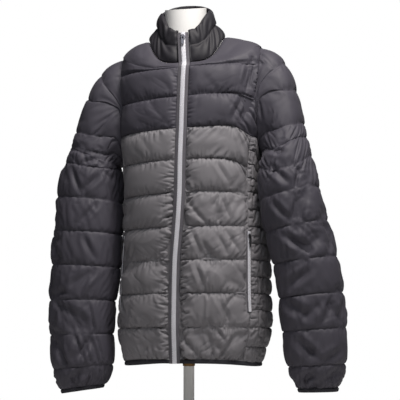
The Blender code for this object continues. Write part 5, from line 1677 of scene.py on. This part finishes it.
def finishes():
    """All finishes by name, made once."""
    colours = bpy.context.scene.jacket_colours
    dark = tuple(colours.dark_cloth) + (1.0,)
    grey = tuple(colours.grey_cloth) + (1.0,)
    makers = {
        "dark_nylon_cloth": partial(nylon_finish, colour=dark, roughness=0.60),
        # the collar's cloth is the dark nylon at a third of its brightness: painted shade for the
        # light that misses the collar
        "collar_nylon_cloth": partial(nylon_finish, colour=shaded(dark, 0.33), roughness=0.58),
        "grey_nylon_cloth": partial(nylon_finish, colour=grey, roughness=0.58),
        "elastic_band": partial(woven_finish, colour=linear("3A3A40"), pitch=0.0009),
        "zip_tape_woven": partial(woven_finish, colour=linear("68666C"), pitch=0.0007),
    }
    for name, colour, roughness, grain, metallic in (
            ("zip_coil_silver", "EAEAF0", 0.48, METAL_GRAIN, 0.10),  # pale satin coil
            ("zip_cast_metal", "54545A", 0.36, METAL_GRAIN, 0.85),  # dark zinc, soft shine
            ("pull_moulded_black", "2A2A2E", 0.45, METAL_GRAIN, 0.0),  # half-matt plastic
            ("form_white_cover", "F8F8F6", 0.75, COVER_GRAIN, 0.0),  # matt stretched knit
            ("ferrule_aged_bronze", "7A5F3C", 0.40, METAL_GRAIN, 0.9),  # brown, worn bright
            ("foot_brushed_steel", "B8B8BA", 0.33, METAL_GRAIN, 0.95)):  # cool dull steel
        makers[name] = partial(grained_finish, colour=linear(colour), roughness=roughness,
                               grain=grain, metallic=metallic)
    return {name: bpy.data.materials.get(name) or make(name) for name, make in makers.items()}


# ---- stage ----
CAMERA_AZIMUTH = math.radians(12.0)
CAMERA_DISTANCE = 2.400
CAMERA_HEIGHT = 0.200
CAMERA_TILT = math.radians(7.05)
CAMERA_ASIDE = 0.0225  # the camera aims this far to the right of the stand's axis
CAMERA_LENS = 105.4
FLOOR_RADIUS = 1.30


def area_lamp(name, place, aim, size, power, colour):
    """A round lamp at a place, turned towards what it lights."""
    light = bpy.data.lights.new(name, "AREA")
    light.shape = "DISK"
    light.size = size
    light.energy = power
    light.color = colour
    lamp = bpy.data.objects.new(name, light)
    bpy.context.scene.collection.objects.link(lamp)
    lamp.location = place
    way = Vector(aim) - Vector(place)
    lamp.rotation_euler = way.to_track_quat("-Z", "Y").to_euler()
    return lamp


def white_world(strength):
    """White seen directly, soft light otherwise."""
    world = bpy.data.worlds.new("soft_white_room")
    world.use_nodes = True
    tree = world.node_tree
    tree.nodes.clear()
    path = add_node(tree, "ShaderNodeLightPath", (-600, 0))
    seen = add_node(tree, "ShaderNodeBackground", (-300, 100), Color=(1, 1, 1, 1), Strength=1.0)
    light = add_node(tree, "ShaderNodeBackground", (-300, -100), Color=(0.97, 0.98, 1.0, 1),
                     Strength=strength)
    mix = add_node(tree, "ShaderNodeMixShader", (0, 0), Fac=path.outputs["Is Camera Ray"])
    tree.links.new(light.outputs["Background"], mix.inputs[1])
    tree.links.new(seen.outputs["Background"], mix.inputs[2])
    add_node(tree, "ShaderNodeOutputWorld", (250, 0), Surface=mix.outputs["Shader"])
    bpy.context.scene.world = world


def build_stage(settings):
    """White room and floor, the lamps at the powers set, and the camera low in front."""
    scene = bpy.context.scene
    scene.view_settings.view_transform = "Standard"
    white_world(settings.room_light)
    turn = full_turn(128)
    rim = np.column_stack([np.cos(turn), np.sin(turn), np.zeros(len(turn))]) * FLOOR_RADIUS
    below = rim - (0, 0, 0.01)
    floor = swept("floor_disc", np.array([below, rim]),
                  grained_finish("floor_matte_white", linear("DADADA"), 0.9, FLOOR_GRAIN))
    floor.location.z = -0.0002
    lamps = [area_lamp("key_lamp", (1.10, -0.85, 1.95), (0, 0, 0.50), 0.60, settings.key_power,
                       (1.0, 0.99, 0.98)),
             area_lamp("fill_lamp", (0.05, -1.1, 1.85), (0, 0, 0.80), 0.8, settings.fill_power,
                       (0.95, 0.97, 1.0)),
             area_lamp("back_lamp", (-0.5, 2.4, 1.7), (0, 0, 0.5), 1.6, settings.back_power,
                       (0.97, 0.98, 1.0)),
             area_lamp("top_lamp", (0.45, -0.60, 1.95), (0, 0, 0.65), 0.5, settings.top_power,
                       (1.0, 0.93, 0.88))]
    camera_data = bpy.data.cameras.new("front_camera")
    camera_data.lens = CAMERA_LENS
    camera_data.sensor_width = 36.0
    camera = bpy.data.objects.new("front_camera", camera_data)
    scene.collection.objects.link(camera)
    away = Vector((math.sin(CAMERA_AZIMUTH), -math.cos(CAMERA_AZIMUTH), 0.0))
    right = Vector((math.cos(CAMERA_AZIMUTH), math.sin(CAMERA_AZIMUTH), 0.0))
    camera.location = away * CAMERA_DISTANCE + Vector((0, 0, CAMERA_HEIGHT))
    ahead = (right * CAMERA_ASIDE - away * CAMERA_DISTANCE).normalized()
    ahead = ahead * math.cos(CAMERA_TILT) + Vector((0, 0, math.sin(CAMERA_TILT)))
    camera.rotation_euler = ahead.to_track_quat("-Z", "Y").to_euler()
    scene.camera = camera


# ---- add-on ----
class JacketColours(bpy.types.PropertyGroup):
    """Colours of the two cloths"""
    dark_cloth: FloatVectorProperty(
        name="Yoke and sleeves", description="Colour of the dark nylon", subtype="COLOR",
        default=DARK_NYLON[:3], min=0.0, max=1.0)
    grey_cloth: FloatVectorProperty(
        name="Body", description="Colour of the grey nylon", subtype="COLOR",
        default=GREY_NYLON[:3], min=0.0, max=1.0)


class JacketStage(bpy.types.PropertyGroup):
    """Strength of the lights"""
    key_power: FloatProperty(name="Key lamp", description="Power of the lamp at upper right",
                             default=12.0, min=0.0, subtype="POWER")
    fill_power: FloatProperty(name="Fill lamp", description="Power of the lamp in front",
                              default=6.5, min=0.0, subtype="POWER")
    top_power: FloatProperty(name="Top lamp", description="Power of the lamp overhead",
                             default=18.5, min=0.0, subtype="POWER")
    back_power: FloatProperty(name="Back lamp", description="Power of the lamp behind the stand",
                              default=14.0, min=0.0, subtype="POWER")
    room_light: FloatProperty(name="Room light", description="Strength of the light all round",
                              default=0.045, min=0.0)


class Step:
    """What the operators share."""
    bl_options = {"REGISTER", "UNDO"}


class JACKET_OT_body(Step, bpy.types.Operator):
    """Quilted lower body: two fronts, the back and the side panels"""
    bl_idname = "jacket.body"
    bl_label = "Lower body"

    def execute(self, context):
        grey = finishes()["grey_nylon_cloth"]
        build_fronts(grey)
        build_back(grey)
        build_sides(grey)
        return {"FINISHED"}


class JACKET_OT_yokes(Step, bpy.types.Operator):
    """Dark yokes over the chest, shoulders and upper back"""
    bl_idname = "jacket.yokes"
    bl_label = "Yokes"

    def execute(self, context):
        build_yokes(finishes()["dark_nylon_cloth"])
        return {"FINISHED"}


class JACKET_OT_sleeves(Step, bpy.types.Operator):
    """Quilted sleeves with their elastic cuffs"""
    bl_idname = "jacket.sleeves"
    bl_label = "Sleeves and cuffs"

    def execute(self, context):
        made = finishes()
        for side, name, table, lines, creases in (
                (1, "left", SLEEVE_LEFT, LINES_LEFT, SLEEVE_LEFT_CREASES),
                (-1, "right", SLEEVE_RIGHT, LINES_RIGHT, SLEEVE_RIGHT_CREASES)):
            ring, normal = build_sleeve(side, name, table, lines, made["dark_nylon_cloth"],
                                        creases)
            build_cuff(name, ring, normal, made["elastic_band"])
        return {"FINISHED"}


class JACKET_OT_collar(Step, bpy.types.Operator):
    """Padded stand collar"""
    bl_idname = "jacket.collar"
    bl_label = "Collar"

    def execute(self, context):
        # the collar takes the dark nylon darkened by painted shade
        build_collar(finishes()["collar_nylon_cloth"])
        return {"FINISHED"}


class JACKET_OT_hem(Step, bpy.types.Operator):
    """Elastic binding round the hem"""
    bl_idname = "jacket.hem"
    bl_label = "Hem"

    def execute(self, context):
        build_hem(finishes()["elastic_band"])
        return {"FINISHED"}


class JACKET_OT_zips(Step, bpy.types.Operator):
    """Centre and pocket zips: tapes, coil teeth, sliders and pull tabs"""
    bl_idname = "jacket.zips"
    bl_label = "Zips"

    def execute(self, context):
        made = finishes()
        build_zips(made["zip_tape_woven"], made["zip_coil_silver"])
        build_hardware(made["zip_cast_metal"], made["pull_moulded_black"])
        return {"FINISHED"}


class JACKET_OT_form(Step, bpy.types.Operator):
    """White dress form, its ferrule, pole and round foot"""
    bl_idname = "jacket.form"
    bl_label = "Dress form and stand"

    def execute(self, context):
        made = finishes()
        build_form(made["form_white_cover"])
        build_stand(made["form_white_cover"], made["ferrule_aged_bronze"],
                    made["foot_brushed_steel"])
        return {"FINISHED"}


class JACKET_OT_stage(Step, bpy.types.Operator):
    """White floor, four soft lamps and the camera"""
    bl_idname = "jacket.stage"
    bl_label = "Stage"

    def execute(self, context):
        build_stage(context.scene.jacket_stage)
        return {"FINISHED"}


OPERATORS = (JACKET_OT_body, JACKET_OT_yokes, JACKET_OT_sleeves, JACKET_OT_collar, JACKET_OT_hem,
             JACKET_OT_zips, JACKET_OT_form, JACKET_OT_stage)


class JACKET_PT_panel(bpy.types.Panel):
    """Settings and steps of the jacket"""
    bl_label = "Down jacket"
    bl_idname = "JACKET_PT_panel"
    bl_space_type = "VIEW_3D"
    bl_region_type = "UI"
    bl_category = "Jacket"

    def draw(self, context):
        layout = self.layout
        for settings in (context.scene.jacket_colours, context.scene.jacket_stage):
            box = layout.box()
            for name in settings.__annotations__:
                box.prop(settings, name)
        for operator in OPERATORS:
            layout.operator(operator.bl_idname)


CLASSES = (JacketColours, JacketStage, *OPERATORS, JACKET_PT_panel)


def register():
    """Registers the classes and their settings on the scene."""
    for made in CLASSES:
        bpy.utils.register_class(made)
    bpy.types.Scene.jacket_colours = PointerProperty(type=JacketColours)
    bpy.types.Scene.jacket_stage = PointerProperty(type=JacketStage)


def unregister():
    """Takes away what register adds."""
    del bpy.types.Scene.jacket_stage
    del bpy.types.Scene.jacket_colours
    for made in reversed(CLASSES):
        bpy.utils.unregister_class(made)


def main():
    """Builds every piece and the stage."""
    register()
    for build in (bpy.ops.jacket.body, bpy.ops.jacket.yokes, bpy.ops.jacket.sleeves,
                  bpy.ops.jacket.collar, bpy.ops.jacket.hem, bpy.ops.jacket.zips,
                  bpy.ops.jacket.form, bpy.ops.jacket.stage):
        build()


if __name__ == "__main__":
    main()
